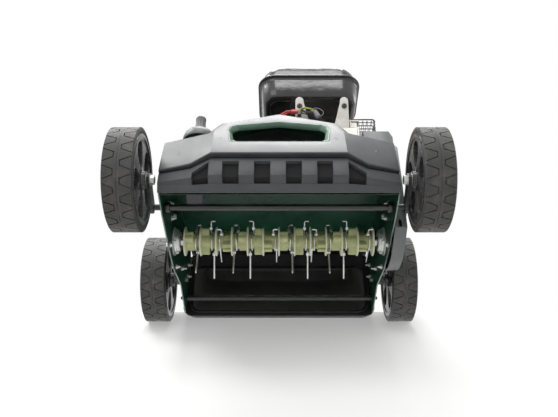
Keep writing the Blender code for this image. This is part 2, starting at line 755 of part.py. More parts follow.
def belt_drive():
    pulley("rotor_pulley", ROTOR_BACK, ROTOR_Z, ROTOR_PULLEY_R, SHAFT_R - 0.002 + GAP, "steel")
    pulley("engine_pulley", CRANK_BACK, CRANK_Z, ENGINE_PULLEY_R, PULLEY_SEAT_R + GAP, "steel")
    ends = ((ROTOR_BACK, ROTOR_Z), (CRANK_BACK, CRANK_Z))
    inner = tangent_loop(ends[0], ROTOR_PULLEY_R - BELT_T + GAP * 2, ends[1],
                         ENGINE_PULLEY_R - BELT_T + GAP * 2)
    outer = tangent_loop(ends[0], ROTOR_PULLEY_R + GAP, ends[1], ENGINE_PULLEY_R + GAP)
    half = 0.0029
    shape = slab(outer, BELT_X - half, BELT_X + half, [inner])
    solid("drive_belt", shape, "belt rubber")
    place = (BELT_X, back(IDLER_BACK), IDLER_Z)
    idler_bore = IDLER_BORE_R + GAP
    profile = [(idler_bore, -0.006), (IDLER_R, -0.006), (IDLER_R, 0.006), (idler_bore, 0.006)]
    solid("idler_pulley", turned(profile, place, steps=16, closed=True), "grey plastic", place)
    arm_x = IDLER_ARM_X
    pivot = (arm_x, back(IDLER_PIVOT_BACK), IDLER_PIVOT_Z)
    run = Vector((IDLER_BACK - IDLER_PIVOT_BACK, IDLER_Z - IDLER_PIVOT_Z))
    along = run.normalized()
    across = Vector((-along.y, along.x))
    outline = []
    for centre, start in (((IDLER_PIVOT_BACK, IDLER_PIVOT_Z), 90), ((IDLER_BACK, IDLER_Z), 270)):
        for i in range(7):
            turn = math.radians(start + 30 * i)
            outline.append(tuple(Vector(centre) + 0.009 * (along * math.cos(turn)
                                                           + across * math.sin(turn))))
    stud_hole = circle(IDLER_PIVOT_BACK, IDLER_PIVOT_Z, IDLER_STUD_R + GAP, 12)
    arm = solid("idler_arm", slab(outline, arm_x - IDLER_ARM_T, arm_x, [stud_hole]), "steel", pivot)
    carve(arm, rod((arm_x - 0.002, back(IDLER_BACK), IDLER_Z),
                   (BELT_X + 0.008, back(IDLER_BACK), IDLER_Z), IDLER_BORE_R, 12), "UNION")


# Belt cover: a shallow moulded tray over the drive, open towards the side plate
def belt_cover():
    outline = [(0.086, 0.048), (0.130, 0.030), (0.165, 0.022)]
    for i in range(5):
        turn = math.radians(-80 + 25 * i)
        outline.append((ROTOR_BACK + 0.062 * math.cos(turn), ROTOR_Z + 0.062 * math.sin(turn)))
    outline += [(0.290, HOUSING_Z), (0.290, 0.362), (0.272, HOUSING_TOP), (0.190, HOUSING_TOP),
                (0.170, HOUSING_TOP - 0.0175), (0.170, HOUSING_Z), (0.118, 0.285), (0.085, 0.250),
                (0.080, 0.170)]
    inner = []
    for point in outline:
        housing = point[1] >= HOUSING_Z and point[0] > 0.119
        way = Vector((0.230, 0.330) if housing else (0.175, 0.190)) - Vector(point)
        inner.append(tuple(Vector(point) + way.normalized() * (0.0055 if housing else 0.0035)))
    x_in, x_out = HALF_DECK + 0.0015, BELT_X + 0.0125
    cover = solid("belt_cover", slab(outline, x_in, x_out), "black plastic")
    # The housing over the engine's pulley is wider than the tray, with a sloping outer shoulder
    top = HOUSING_TOP - 0.0005
    across = [(HOUSING_X, HOUSING_Z), (x_out, HOUSING_Z), (x_out + 0.012, HOUSING_Z + 0.020),
              (x_out + 0.012, 0.352), (x_out - 0.004, top), (HOUSING_X, top)]
    carve(cover, long_slab(across, back(0.171), back(0.289)), "UNION")
    carve(cover, slab([(0.150, top - 0.0355), (0.198, top + 0.0060), (0.150, top + 0.020)], 0.15, 0.32))
    carve(cover, slab([(0.330, top - 0.0830), (0.270, top + 0.0012), (0.330, top + 0.0300)], 0.15, 0.32))
    carve(cover, slab(inner, x_in - 0.002, x_out - 0.0025))
    hollow = [(HOUSING_X + 0.0025, HOUSING_Z - 0.002), (x_out - 0.0025, HOUSING_Z - 0.002),
              (x_out + 0.0095, HOUSING_Z + 0.021), (x_out + 0.0095, 0.351), (x_out + 0.004, 0.362),
              (HOUSING_X + 0.0025, 0.362)]
    carve(cover, long_slab(hollow, back(0.1765), back(0.2860)))
    carve(cover, box((HOUSING_X + 0.0034, back(0.196), 0.345), (x_out - 0.008, back(0.270), 0.3832)))
    carve(cover, rod((HOUSING_X - 0.01, back(CRANK_BACK), CRANK_Z),
                     (HOUSING_X + 0.01, back(CRANK_BACK), CRANK_Z), 0.018, 20))
    return cover


def long_slab(outline, y0, y1):
    """A prism along Y from an outline of X and Z."""
    shape = bmesh.new()
    near = [shape.verts.new((x, y0, z)) for x, z in outline]
    far = [shape.verts.new((x, y1, z)) for x, z in outline]
    shape.faces.new(near)
    shape.faces.new(far)
    for i in range(len(outline)):
        shape.faces.new((near[i - 1], near[i], far[i], far[i - 1]))
    bmesh.ops.recalc_face_normals(shape, faces=shape.faces)
    return shape


# Engine: crankcase with the tank arms cast on, cylinder with fins, head cover and fittings
def crankcase():
    base = DECK_Z + GAP
    outline = [(CASE_FRONT_BACK - 0.012, base), (CASE_REAR_BACK + 0.012, base),
               (CASE_REAR_BACK + 0.012, base + 0.010), (CASE_REAR_BACK, base + 0.012),
               (CASE_REAR_BACK, CASE_TOP_Z - 0.020), (CASE_REAR_BACK - 0.020, CASE_TOP_Z),
               (CASE_FRONT_BACK + 0.024, CASE_TOP_Z), (CASE_FRONT_BACK, CASE_TOP_Z - 0.024),
               (CASE_FRONT_BACK, base + 0.012), (CASE_FRONT_BACK - 0.012, base + 0.010)]
    case = solid("crankcase", slab(outline, CASE_X0, CASE_X1), "cast aluminium")
    lower = TANK_SEAM_Z - TANK_LOW_H - GAP
    for x in (0.049, 0.155):
        arm = [(CASE_FRONT_BACK + 0.004, CASE_TOP_Z - 0.030), (CASE_FRONT_BACK + 0.050, CASE_TOP_Z - 0.004),
               (CASE_FRONT_BACK + 0.014, lower), (CASE_FRONT_BACK - 0.024, lower),
               (CASE_FRONT_BACK - 0.024, lower - 0.006), (CASE_FRONT_BACK - 0.006, lower - 0.010)]
        carve(case, slab(arm, x - 0.010, x + 0.010), "UNION")
    carve(case, box((0.142, back(CASE_FRONT_BACK + 0.030), CASE_TOP_Z - 0.005),
                    (0.1875, back(CASE_FRONT_BACK + 0.075), CASE_TOP_Z + 0.022)), "UNION")
    bore = CRANK_R + RUNNING
    carve(case, rod((CASE_X0 - 0.01, back(CRANK_BACK), CRANK_Z),
                    (CASE_X1 + 0.01, back(CRANK_BACK), CRANK_Z), bore, 20))
    neck = dipstick_line(0.014)
    carve(case, rod(neck[1], neck[0], 0.011, 12), "UNION")
    carve(case, rod(dipstick_line(-0.030)[0], dipstick_line(0.034)[0], 0.0062, 12))
    return case


def dipstick_line(rise):
    """A point on the oil filler's axis, and one inside the crankcase wall."""
    foot = Vector((DIP_X, back(CASE_FRONT_BACK), DECK_Z + 0.050))
    way = Vector((0, -math.cos(DIP_ANGLE), math.sin(DIP_ANGLE)))
    return foot + way * rise, foot - way * 0.006


def cylinder_line():
    """The cylinder's foot in the side view, its direction, and the direction across it."""
    along = Vector((math.cos(CYL_ANGLE), math.sin(CYL_ANGLE)))
    return Vector((CASE_REAR_BACK + GAP, CYL_FOOT_Z)), along, Vector((-along.y, along.x))


def cylinder():
    foot, along, across = cylinder_line()
    root = CYL_HALF - FIN_DEPTH
    outline_up, outline_down = [], []
    for i in range(FINS):
        a = 0.020 + i * FIN_PITCH
        for travel, reach in ((a, root), (a, CYL_HALF), (a + FIN_T, CYL_HALF), (a + FIN_T, root)):
            outline_up.append(tuple(foot + along * travel + across * reach))
            outline_down.append(tuple(foot + along * travel - across * reach))
    end = 0.020 + FINS * FIN_PITCH + FIN_T
    outline_up.append(tuple(foot + along * end + across * root))
    outline_down.append(tuple(foot + along * end - across * root))
    lead = [(foot.x, foot.y + 0.030), (foot.x, foot.y - 0.038)]
    outline = [lead[0]] + outline_up + outline_down[::-1] + [lead[1]]
    x0, x1 = CASE_X0 + 0.020, CASE_X1 - 0.030
    solid("cylinder_block", slab(outline, x0, x1), "cast aluminium")
    reach = end + GAP
    cover = [tuple(foot + along * a + across * b) for a, b in
             ((reach, 0.036), (reach, -0.036), (reach + 0.020, -0.036), (reach + 0.026, -0.028),
              (reach + 0.026, 0.028), (reach + 0.020, 0.036))]
    soften(solid("valve_cover", slab(cover, x0 + 0.006, x1 - 0.006), "steel"), 0.003)
    plug_x = x1 + GAP
    plug = foot + along * (end - 0.022) - across * 0.012
    cap = merged_cap(plug_x, plug)
    solid("spark_plug_cap", cap, "black plastic")


def merged_cap(x, place):
    profile = [(0, x), (0.009, x), (0.009, x + 0.018), (0.012, x + 0.020), (0.012, x + 0.034),
               (0.009, x + 0.038), (0, x + 0.038)]
    return turned(profile, (0, back(place.x), place.y), steps=12)


def rounded_plan(width, depth, corner, steps=4):
    """A rounded rectangle in plan, centred on the origin."""
    loop = []
    for cx, cy, start in ((1, 1, 0), (-1, 1, 90), (-1, -1, 180), (1, -1, 270)):
        for i in range(steps + 1):
            turn = math.radians(start + 90 * i / steps)
            loop.append((cx * (width / 2 - corner) + corner * math.cos(turn),
                         cy * (depth / 2 - corner) + corner * math.sin(turn)))
    return loop


def stacked(levels, centre):
    """A closed body from rounded rectangles in plan: (Z, width, depth, corner) from the bottom up."""
    shape = bmesh.new()
    rows = []
    for z, width, depth, corner in levels:
        plan = rounded_plan(width, depth, corner)
        rows.append([shape.verts.new((centre[0] + x, centre[1] + y, z)) for x, y in plan])
    for low, high in zip(rows, rows[1:]):
        for i in range(len(low)):
            shape.faces.new((low[i - 1], low[i], high[i], high[i - 1]))
    shape.faces.new(rows[0])
    shape.faces.new(rows[-1])
    return shape


def tank():
    middle_y = back(TANK_FRONT_BACK + TANK_DEPTH / 2)
    seam = TANK_SEAM_Z
    w, d = TANK_W - 2 * FLANGE, TANK_DEPTH - 2 * FLANGE
    low = stacked([(seam - TANK_LOW_H, w - 0.020, d - 0.020, 0.018),
                   (seam - TANK_LOW_H + 0.008, w - 0.006, d - 0.006, 0.024),
                   (seam - 0.0022, w, d, 0.026), (seam - 0.0020, TANK_W, TANK_DEPTH, 0.030),
                   (seam, TANK_W, TANK_DEPTH, 0.030)], (TANK_X, middle_y))
    solid("fuel_tank_lower", low, "black paint")
    seam += GAP
    high = stacked([(seam, TANK_W, TANK_DEPTH, 0.030), (seam + 0.0020, TANK_W, TANK_DEPTH, 0.030),
                    (seam + 0.0022, w, d, 0.026), (seam + 0.034, w - 0.004, d - 0.004, 0.026),
                    (seam + 0.050, w - 0.020, d - 0.020, 0.024),
                    (seam + TANK_TOP_H, w - 0.060, d - 0.050, 0.020)], (TANK_X, middle_y))
    top = solid("fuel_tank_upper", high, "black paint")
    neck_x, neck_y = TANK_X - CAP_OFFSET, middle_y
    crown = seam + TANK_TOP_H
    carve(top, rod((neck_x, neck_y, crown - 0.004), (neck_x, neck_y, crown + 0.006), 0.019, 20), "UNION")
    base = crown + 0.006 + GAP
    cap = [(0, base), (0.026, base), (0.027, base + 0.003), (0.027, base + 0.013),
           (0.023, base + 0.017), (0, base + 0.018)]
    pivot = (neck_x, neck_y, base)
    solid("fuel_cap", turned(cap, (neck_x, neck_y, 0), "Z", 24), "black plastic", pivot)


def dipstick():
    foot, inside = dipstick_line(0.0143)[0], dipstick_line(-0.020)[0]
    tip = dipstick_line(0.030)[0]
    item = solid("dipstick", rod(foot + (tip - foot) * 0.02, tip, 0.013, 16), "grey plastic", tuple(foot))
    carve(item, rod(inside, foot + (tip - foot) * 0.5, 0.0055, 12), "UNION")


def crankshaft():
    pivot = (0, back(CRANK_BACK), CRANK_Z)
    flywheel = CASE_X0 - 0.012
    shaft_end = BELT_X + PULLEY_W / 2 + 0.002
    profile = [(0, flywheel - 0.034), (0.012, flywheel - 0.034), (0.012, flywheel - 0.026),
               (0.074, flywheel - 0.026), (0.076, flywheel - 0.004), (0.060, flywheel),
               (CRANK_R, flywheel), (CRANK_R, CASE_X1 + 0.010), (PULLEY_SEAT_R, CASE_X1 + 0.012),
               (PULLEY_SEAT_R, shaft_end), (0, shaft_end)]
    solid("crankshaft", turned(profile, pivot, steps=24), "steel", pivot)


def recoil():
    """Recoil starter and fan housing: a cup over the flywheel, open towards the crankcase."""
    inner, outer = CASE_X0 - GAP, RECOIL_X
    profile = [(0, outer), (0.056, outer), (0.060, outer + 0.016), (0.086, outer + 0.020),
               (0.096, outer + 0.030), (0.094, inner), (0.088, inner), (0.091, outer + 0.033),
               (0.083, outer + 0.024), (0.056, outer + 0.021), (0.052, outer + 0.004),
               (0, outer + 0.004)]
    body = turned(profile, (0, back(CRANK_BACK), CRANK_Z), steps=28)
    solid("recoil_housing", body, "black plastic")
    y, z = back(CRANK_BACK + 0.050), CRANK_Z + 0.075
    x = RECOIL_X + 0.008
    grip = rod((x, y - 0.028, z), (x, y + 0.028, z), 0.008, 12)
    soften(solid("recoil_grip", grip, "black plastic", (x, y, z)), 0.003)


def intake():
    soften(solid("air_filter_box", box((-0.085, back(0.335), 0.420), (0.020, back(0.440), 0.520)),
                 "black plastic"), 0.012, 2)
    soften(solid("carburettor", box((CARB_LEFT_X, back(CARB_FRONT_BACK), 0.392),
                                    (CASE_X0 + 0.020 - GAP, back(CARB_FRONT_BACK + 0.045), 0.446)),
                 "cast aluminium"), 0.003)


def exhaust():
    y = back(MUFFLER_BACK)
    x0, x1 = 0.105, 0.229
    profile = [(0, x0), (MUFFLER_R - 0.006, x0), (MUFFLER_R, x0 + 0.007), (MUFFLER_R, x1 - 0.007),
               (MUFFLER_R - 0.006, x1), (0, x1)]
    can = solid("muffler", turned(profile, (0, y, MUFFLER_Z), steps=20), "steel")
    foot, along, across = cylinder_line()
    stub = [foot + along * 0.097 + across * reach for reach in (CYL_HALF + GAP, CYL_HALF * 2)]
    ends = [(x0 + 0.020, back(place.x), place.y) for place in stub]
    carve(can, rod(ends[0], ends[1], 0.011, 14), "UNION")
    wall = 0.003
    low, high = Vector((0.098, y - 0.056, 0.430)), Vector((0.262, y + 0.056, 0.552))
    guard = solid("muffler_guard", box(low, high), "black paint")
    inset = Vector((wall, wall, wall))
    deeper = Vector((0, 0, 0.02))
    carve(guard, box(low + inset - deeper, high - inset))
    for start, end in ((low.x + wall / 2, x0 - GAP), (x1 + GAP, high.x - wall / 2)):
        carve(guard, rod((start, y, MUFFLER_Z), (end, y, MUFFLER_Z), 0.006, 12), "UNION")
    return guard


def wiring():
    points = rounded([(0.004, back(0.150), 0.395), (0.018, back(0.148), 0.4085),
                      (0.060, back(0.146), 0.4125), (0.086, back(0.147), 0.4095),
                      (0.106, back(0.150), 0.400)], 0.006, 3)
    tube("wire_loom", points, 0.0045, "red wire", (0, 0, 0), 2)


def controls():
    """Engine switch, throttle lever and choke lever."""
    pivot = (CASE_X0 + 0.030, back(CASE_FRONT_BACK) - GAP, CASE_TOP_Z - 0.060)
    knob = turned([(0, 0), (0.012, 0), (0.012, -0.008), (0.010, -0.010), (0, -0.010)],
                  pivot, "Y", 16)
    item = solid("engine_switch", knob, "grey plastic", pivot)
    carve(item, box((pivot[0] - 0.003, pivot[1] - 0.016, pivot[2] - 0.009),
                    (pivot[0] + 0.003, pivot[1] - 0.006, pivot[2] + 0.009)), "UNION")
    half = LEVER_STRIP_W / 2
    s = CARB_FRONT_BACK - half - GAP
    for name, x, z, length in (("throttle_lever", CARB_LEFT_X + 0.0072, 0.4105, 0.036),
                               ("choke_lever", CARB_LEFT_X + 0.0197, 0.4065, 0.026)):
        foot = [(s + half * math.cos(math.pi * i / 6), z - half * math.sin(math.pi * i / 6))
                for i in range(7)]
        outline = foot + [(s - half, z + length - 0.002), (s - half + 0.002, z + length),
                          (s + half - 0.002, z + length), (s + half, z + length - 0.002)]
        solid(name, slab(outline, x - LEVER_STRIP_T / 2, x + LEVER_STRIP_T / 2), "steel",
              (x, back(s), z))


# Handle: two lower tubes with a cross brace, and a folding U-shaped upper bar
def on_handle(travel, x=0.0, lift=0.0):
    """A world point on the handle's line, a distance up from its foot."""
    y = back(HANDLE_FOOT_BACK + travel * math.cos(HANDLE_ANGLE) - lift * math.sin(HANDLE_ANGLE))
    z = HANDLE_FOOT_Z + travel * math.sin(HANDLE_ANGLE) + lift * math.cos(HANDLE_ANGLE)
    return Vector((x, y, z))


def handle():
    top = LOWER_HANDLE_L + 0.015
    low = solid("lower_handle", rod(on_handle(0, -HANDLE_X), on_handle(top, -HANDLE_X), HANDLE_R, 14),
                "black paint")
    carve(low, rod(on_handle(0, HANDLE_X), on_handle(top, HANDLE_X), HANDLE_R, 14), "UNION")
    carve(low, rod(on_handle(BRACE_UP, -HANDLE_X), on_handle(BRACE_UP, HANDLE_X), BRACE_R, 12), "UNION")
    start = LOWER_HANDLE_L - 0.020
    path = rounded([on_handle(start, -UPPER_X), on_handle(HANDLE_L, -UPPER_X),
                    on_handle(HANDLE_L, UPPER_X), on_handle(start, UPPER_X)], HANDLE_BEND_R)
    fold = on_handle(LOWER_HANDLE_L)
    tube("upper_handlebar", path, HANDLE_R, "black paint", tuple(fold), 2)
    for side, label in ((-1, "left"), (1, "right")):
        x0 = side * (HANDLE_X + HANDLE_R + GAP)
        x1 = x0 + side * 0.016
        hub = on_handle(LOWER_HANDLE_L)
        profile = [(0, x0), (0.010, x0), (0.018, x0 + side * 0.005), (0.018, x1 - side * 0.002),
                   (0.015, x1), (0, x1)]
        solid(f"clamp_knob_{label}", turned(profile, (0, hub.y, hub.z), steps=16),
              "black plastic", (x0, hub.y, hub.z))
    bail_travel = HANDLE_L - 0.115
    lift = 0.020
    bail_half = UPPER_X - HANDLE_R - 0.006
    ahead = 0.085
    side_view = ((bail_travel, 0.0), (bail_travel + lift, lift), (bail_travel + ahead, lift + 0.035))
    corners = [on_handle(travel, -bail_half, rise) for travel, rise in side_view]
    corners += [on_handle(travel, bail_half, rise) for travel, rise in side_view[::-1]]
    bail = rounded(corners, 0.012, 3)
    tube("bail_lever", bail, 0.005, "black paint", tuple(on_handle(bail_travel)), 2)


# Rear: flap, bag frame and bag
def along_bag(travel, rise):
    """A point of the bag's side view: travel up its length, rise across it."""
    return (BAG_BACK + travel * math.cos(BAG_ANGLE) - rise * math.sin(BAG_ANGLE) * 0.3,
            BAG_Z + travel * math.sin(BAG_ANGLE) + rise)


def rear():
    frame_t = 0.012
    half = BAG_W / 2
    low, high = BAG_Z, BAG_Z + BAG_MOUTH_H
    outer = rounded_plan(BAG_W, BAG_MOUTH_H, 0.022, 3)
    inner = rounded_plan(BAG_W - 2 * frame_t, BAG_MOUTH_H - 2 * frame_t, 0.014, 3)
    shape = bmesh.new()
    edges = []
    y0 = back(BAG_BACK)
    for loop in (outer, inner):
        verts = [shape.verts.new((x, y0, z + (low + high) / 2)) for x, z in loop]
        edges += [shape.edges.new((verts[i - 1], verts[i])) for i in range(len(verts))]
    bmesh.ops.triangle_fill(shape, use_beauty=True, edges=edges)
    grown = bmesh.ops.extrude_face_region(shape, geom=shape.faces[:])["geom"]
    moved = [item for item in grown if isinstance(item, bmesh.types.BMVert)]
    bmesh.ops.translate(shape, vec=(0, 0.014, 0), verts=moved)
    solid("bag_frame", shape, "black plastic", (0, y0, high))
    cloth_low = 0.0143
    outline = [(BAG_BACK + cloth_low, low + 0.002), along_bag(BAG_L, 0.0),
               (along_bag(BAG_L, 0.0)[0] + 0.010, along_bag(BAG_L, 0.0)[1] + 0.040),
               (along_bag(BAG_L, 0.0)[0] - 0.050, along_bag(BAG_L, 0.0)[1] + 0.190),
               (along_bag(BAG_L * 0.55, 0.0)[0] - 0.010, along_bag(BAG_L * 0.55, 0.0)[1] + 0.185),
               (BAG_BACK + cloth_low, high - 0.002)]
    cloth = solid("bag_cloth", slab(outline, -half, half), "bag cloth", (0, y0, high))
    middle = Vector((BAG_BACK + 0.14, low + 0.17))
    inside = [(BAG_BACK - 0.02, low + 0.002 + BAG_T), (BAG_BACK - 0.02, high - 0.002 - BAG_T)]
    body = [Vector(p) + (middle - Vector(p)).normalized() * BAG_T * 1.3 for p in outline[1:5]]
    inner_loop = [inside[0], (BAG_BACK + cloth_low, low + 0.002 + BAG_T)] + [tuple(p) for p in body]
    inner_loop += [(BAG_BACK + cloth_low, high - 0.002 - BAG_T), inside[1]]
    carve(cloth, slab(inner_loop, -half + BAG_T, half - BAG_T))
    pivot = (0, back(DECK_END_BACK + 0.004), DECK_Z + 0.004)
    flap = [(DECK_END_BACK + 0.002, DECK_Z + 0.001), (DECK_END_BACK + 0.002, DECK_Z + 0.007),
            (DECK_END_BACK + 0.052, DECK_Z + 0.004), (DECK_END_BACK + 0.052, DECK_Z + 0.001)]
    flap_half = INNER - RUNNING
    solid("rear_flap", slab(flap, -flap_half, flap_half), "black plastic", pivot)


side_plates()
bearings()
deck()
front_cover()
depth_knob()
front_axle()
rear_rod()
wheel("wheel_front_left", -1, 0.0)
wheel("wheel_front_right", 1, 0.0)
wheel("wheel_rear_left", -1, WHEELBASE)
wheel("wheel_rear_right", 1, WHEELBASE)
rotor()
tines()
belt_drive()
belt_cover()
crankcase()
cylinder()
tank()
dipstick()
crankshaft()
recoil()
intake()
exhaust()
wiring()
controls()
handle()
rear()
print("front axle y", round(FRONT_AXLE_Y, 5))
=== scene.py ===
"""Looks of a petrol scarifier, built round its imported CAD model. Metres, in the CAD model's frame."""

import math

import bmesh
import bpy
from mathutils import Matrix, Vector, noise


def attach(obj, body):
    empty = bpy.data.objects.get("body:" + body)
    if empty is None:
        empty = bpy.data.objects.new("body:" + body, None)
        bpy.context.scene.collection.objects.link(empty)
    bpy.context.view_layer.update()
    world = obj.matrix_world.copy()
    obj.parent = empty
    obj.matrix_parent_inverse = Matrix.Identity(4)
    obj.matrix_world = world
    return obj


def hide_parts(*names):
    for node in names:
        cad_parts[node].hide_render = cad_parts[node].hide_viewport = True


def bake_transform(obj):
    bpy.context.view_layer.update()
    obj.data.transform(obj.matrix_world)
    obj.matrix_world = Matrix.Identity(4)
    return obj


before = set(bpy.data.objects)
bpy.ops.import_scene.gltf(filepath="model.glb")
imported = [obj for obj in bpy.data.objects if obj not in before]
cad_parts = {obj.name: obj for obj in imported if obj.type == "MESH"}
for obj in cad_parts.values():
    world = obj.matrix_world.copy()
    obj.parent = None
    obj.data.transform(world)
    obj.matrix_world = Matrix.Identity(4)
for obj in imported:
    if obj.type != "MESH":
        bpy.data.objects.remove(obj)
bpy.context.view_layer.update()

# Camera. The photograph looks up at the nose of the machine, which is tipped back on its rear wheels.
# In the machine's own frame that is a camera in front of it and below the ground line.
FRONT_AXLE_Y = -0.429038
CAMERA_PITCH = math.radians(34.17)


def shown(name, data):
    """A new object in the scene."""
    item = bpy.data.objects.new(name, data)
    bpy.context.scene.collection.objects.link(item)
    return item


camera = shown("camera", bpy.data.cameras.new("camera"))
camera.location = (0, FRONT_AXLE_Y - 1.0094, -0.651)
camera.rotation_euler = (math.pi / 2 + CAMERA_PITCH, 0, 0)
camera.data.lens = 42.58
camera.data.sensor_width = 36
camera.data.clip_start, camera.data.clip_end = 0.05, 50
bpy.context.scene.camera = camera


# Side plates and deck shell. The real ones are 2.5 mm and 2 mm mild steel sheet, laser cut, folded
# and welded. A dark green powder coat bakes on as a thick gloss film that thins on the cut edges, which
# are painted paler as a highlight.
def linear(code):
    """An sRGB hex colour as linear RGBA."""
    values = [int(code[i:i + 2], 16) / 255 for i in (1, 3, 5)]
    return (*[v / 12.92 if v <= 0.04045 else ((v + 0.055) / 1.055) ** 2.4 for v in values], 1)


def add(tree, kind, inputs=None, **settings):
    """A shader node with its settings, its values and its links."""
    made = tree.nodes.new(kind)
    for name, value in settings.items():
        setattr(made, name, value)
    for name, value in (inputs or {}).items():
        if isinstance(value, bpy.types.NodeSocket):
            tree.links.new(value, made.inputs[name])
        else:
            made.inputs[name].default_value = value
    return made


def finish(name, slot, low, high, grain_mm, depth_mm, rough, blotch_mm=60, dust=None, dust_share=0.0,
        stretch=(1, 1, 1), **shader_values):
    """A finish with its own grain, its uneven tone and gloss, and dust in patches.

    Low and high are the two tones, rough is the range of roughness, and stretch draws the grain out
    along an axis."""
    made = bpy.data.materials.new(name)
    made.use_nodes = True
    tree = made.node_tree
    shader = tree.nodes["Principled BSDF"]
    place = add(tree, "ShaderNodeTexCoord").outputs["Object"]
    drawn = add(tree, "ShaderNodeMapping", {"Vector": place, "Scale": stretch}).outputs[0]
    grain = add(tree, "ShaderNodeTexNoise", {"Vector": drawn, "Scale": 1000 / grain_mm, "Detail": 3.0,
        "Roughness": 0.6}).outputs["Fac"]
    blotch = add(tree, "ShaderNodeTexNoise", {"Vector": place, "Scale": 1000 / blotch_mm,
        "Detail": 4.0}).outputs["Fac"]
    both = add(tree, "ShaderNodeMath", {0: grain, 1: blotch}, operation="ADD").outputs[0]
    share = add(tree, "ShaderNodeMapRange", {"Value": both, "From Min": 0.7, "From Max": 1.3}).outputs[0]
    tone = add(tree, "ShaderNodeMix", {"Factor": share, 6: linear(low), 7: linear(high)},
        data_type="RGBA")
    colour = tone.outputs[2]
    if dust:
        lie = add(tree, "ShaderNodeTexNoise", {"Vector": place, "Scale": 22.0, "Detail": 6.0,
            "Roughness": 0.7}).outputs["Fac"]
        cover = add(tree, "ShaderNodeMapRange", {"Value": lie, "From Min": 0.5, "From Max": 0.75,
            "To Max": dust_share}).outputs[0]
        dusty = add(tree, "ShaderNodeMix", {"Factor": cover, 6: colour, 7: linear(dust)},
            data_type="RGBA")
        colour = dusty.outputs[2]
    tree.links.new(colour, shader.inputs["Base Color"])
    gloss = add(tree, "ShaderNodeMapRange", {"Value": both, "From Min": 0.7, "From Max": 1.3,
        "To Min": rough[0], "To Max": rough[1]}).outputs[0]
    tree.links.new(gloss, shader.inputs["Roughness"])
    bump = add(tree, "ShaderNodeBump", {"Height": grain, "Strength": 1.0, "Distance": depth_mm
        / 1000}).outputs[0]
    tree.links.new(bump, shader.inputs["Normal"])
    for socket, value in shader_values.items():
        shader.inputs[socket.replace("_", " ")].default_value = value
    return made


def ease(item, width, segments=2, angle=28):
    """Rounds the edges of an object that turn by more than an angle."""
    eased = item.modifiers.new("eased edges", "BEVEL")
    eased.width, eased.segments, eased.limit_method = width, segments, "ANGLE"
    eased.angle_limit = math.radians(angle)


def dress(node, material, bevel=0.0, segments=2):
    """A CAD node that stays in view: its finish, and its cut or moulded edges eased."""
    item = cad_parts[node]
    item.data.materials.clear()
    item.data.materials.append(material)
    if bevel:
        ease(item, bevel, segments)
    return item


def back(distance):
    """World Y of a point that lies a distance behind the front wheels' axle."""
    return FRONT_AXLE_Y + distance


# Powder coat over steel: a clear gloss with faint orange peel about 2 mm across
green_coat = finish("green_powder_coat_steel", "green_paint", "#103426", "#194a35", 2.2, 0.05,
    (0.24, 0.36), 90, "#4c4a3c", 0.1, Specular_IOR_Level=0.3)
# Cut edges of the same plates, where the coat is thin; their paler colour is a painted highlight for the
# light that catches them
edge_coat_and_highlight = finish("thin_green_coat_with_painted_highlight_on_cut_edge", "green_paint", "#5f6f66", "#93a098", 1.5, 0.03,
    (0.22, 0.34), 30, "#4c4a3c", 0.1, Metallic=0.4)
# The plates' own coat is a darker and duller copy of the deck's
plate_coat = finish("dulled_green_powder_coat", "green_paint", "#0c2a1f", "#133a2b", 2.2, 0.05,
    (0.38, 0.54), 90, "#4c4a3c", 0.1, Specular_IOR_Level=0.2)
for name in ("side_plate_left", "side_plate_right"):
    plate = dress(name, plate_coat, 0.0007)
    # Faces that don't face sideways are the cut edges, and take the painted highlight
    plate.data.materials.append(edge_coat_and_highlight)
    for face in plate.data.polygons:
        if abs(face.normal.x) < 0.3:
            face.material_index = 1
dress("deck_shell", green_coat, 0.0006)

HALF_DECK = 0.2275
PLATE_T = 0.0025
INNER = HALF_DECK - PLATE_T


def mesh_of(shape, name):
    """A mesh made from a bmesh, which it uses up."""
    mesh = bpy.data.meshes.new(name)
    shape.to_mesh(mesh)
    shape.free()
    return mesh


def smoothed(mesh, angle):
    """Smooth shading, with edges that turn by more than an angle kept sharp."""
    mesh.shade_smooth()
    mesh.set_sharp_from_angle(angle=math.radians(angle))
    return mesh


def piece(name, shape, material, stands_for=None, body="chassis", bevel=0.0, segments=2, smooth=35,
        place=None):
    """A piece from a bmesh, in the machine's frame or about its own place, that rides on a body."""
    bmesh.ops.remove_doubles(shape, verts=shape.verts, dist=0.000002)
    bmesh.ops.recalc_face_normals(shape, faces=shape.faces)
    return seat(name, smoothed(mesh_of(shape, name), smooth), material, stands_for, body, bevel, segments,
        place)


def seat(name, data, material, stands_for=None, body="chassis", bevel=0.0, segments=2, place=None):
    """An object from a mesh, with its finish, edges and body, that hides the CAD part it stands for."""
    item = shown(name, data)
    if not data.materials:
        data.materials.append(material)
    if place:
        item.location = place
    if bevel:
        ease(item, bevel, segments)
    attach(item, body)
    if stands_for:
        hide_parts(stands_for)
    return item


def block(low, high, shape=None):
    """A box between two corners, added to a bmesh."""
    shape = shape or bmesh.new()
    size, middle = Vector(high) - Vector(low), (Vector(high) + Vector(low)) / 2
    bmesh.ops.create_cube(shape, size=1, matrix=Matrix.Translation(middle) @ Matrix.Diagonal((*size, 1)))
    return shape


def aim(direction):
    """The turn that takes +Z to a direction."""
    return Vector(direction).to_track_quat("Z", "Y").to_matrix().to_4x4()


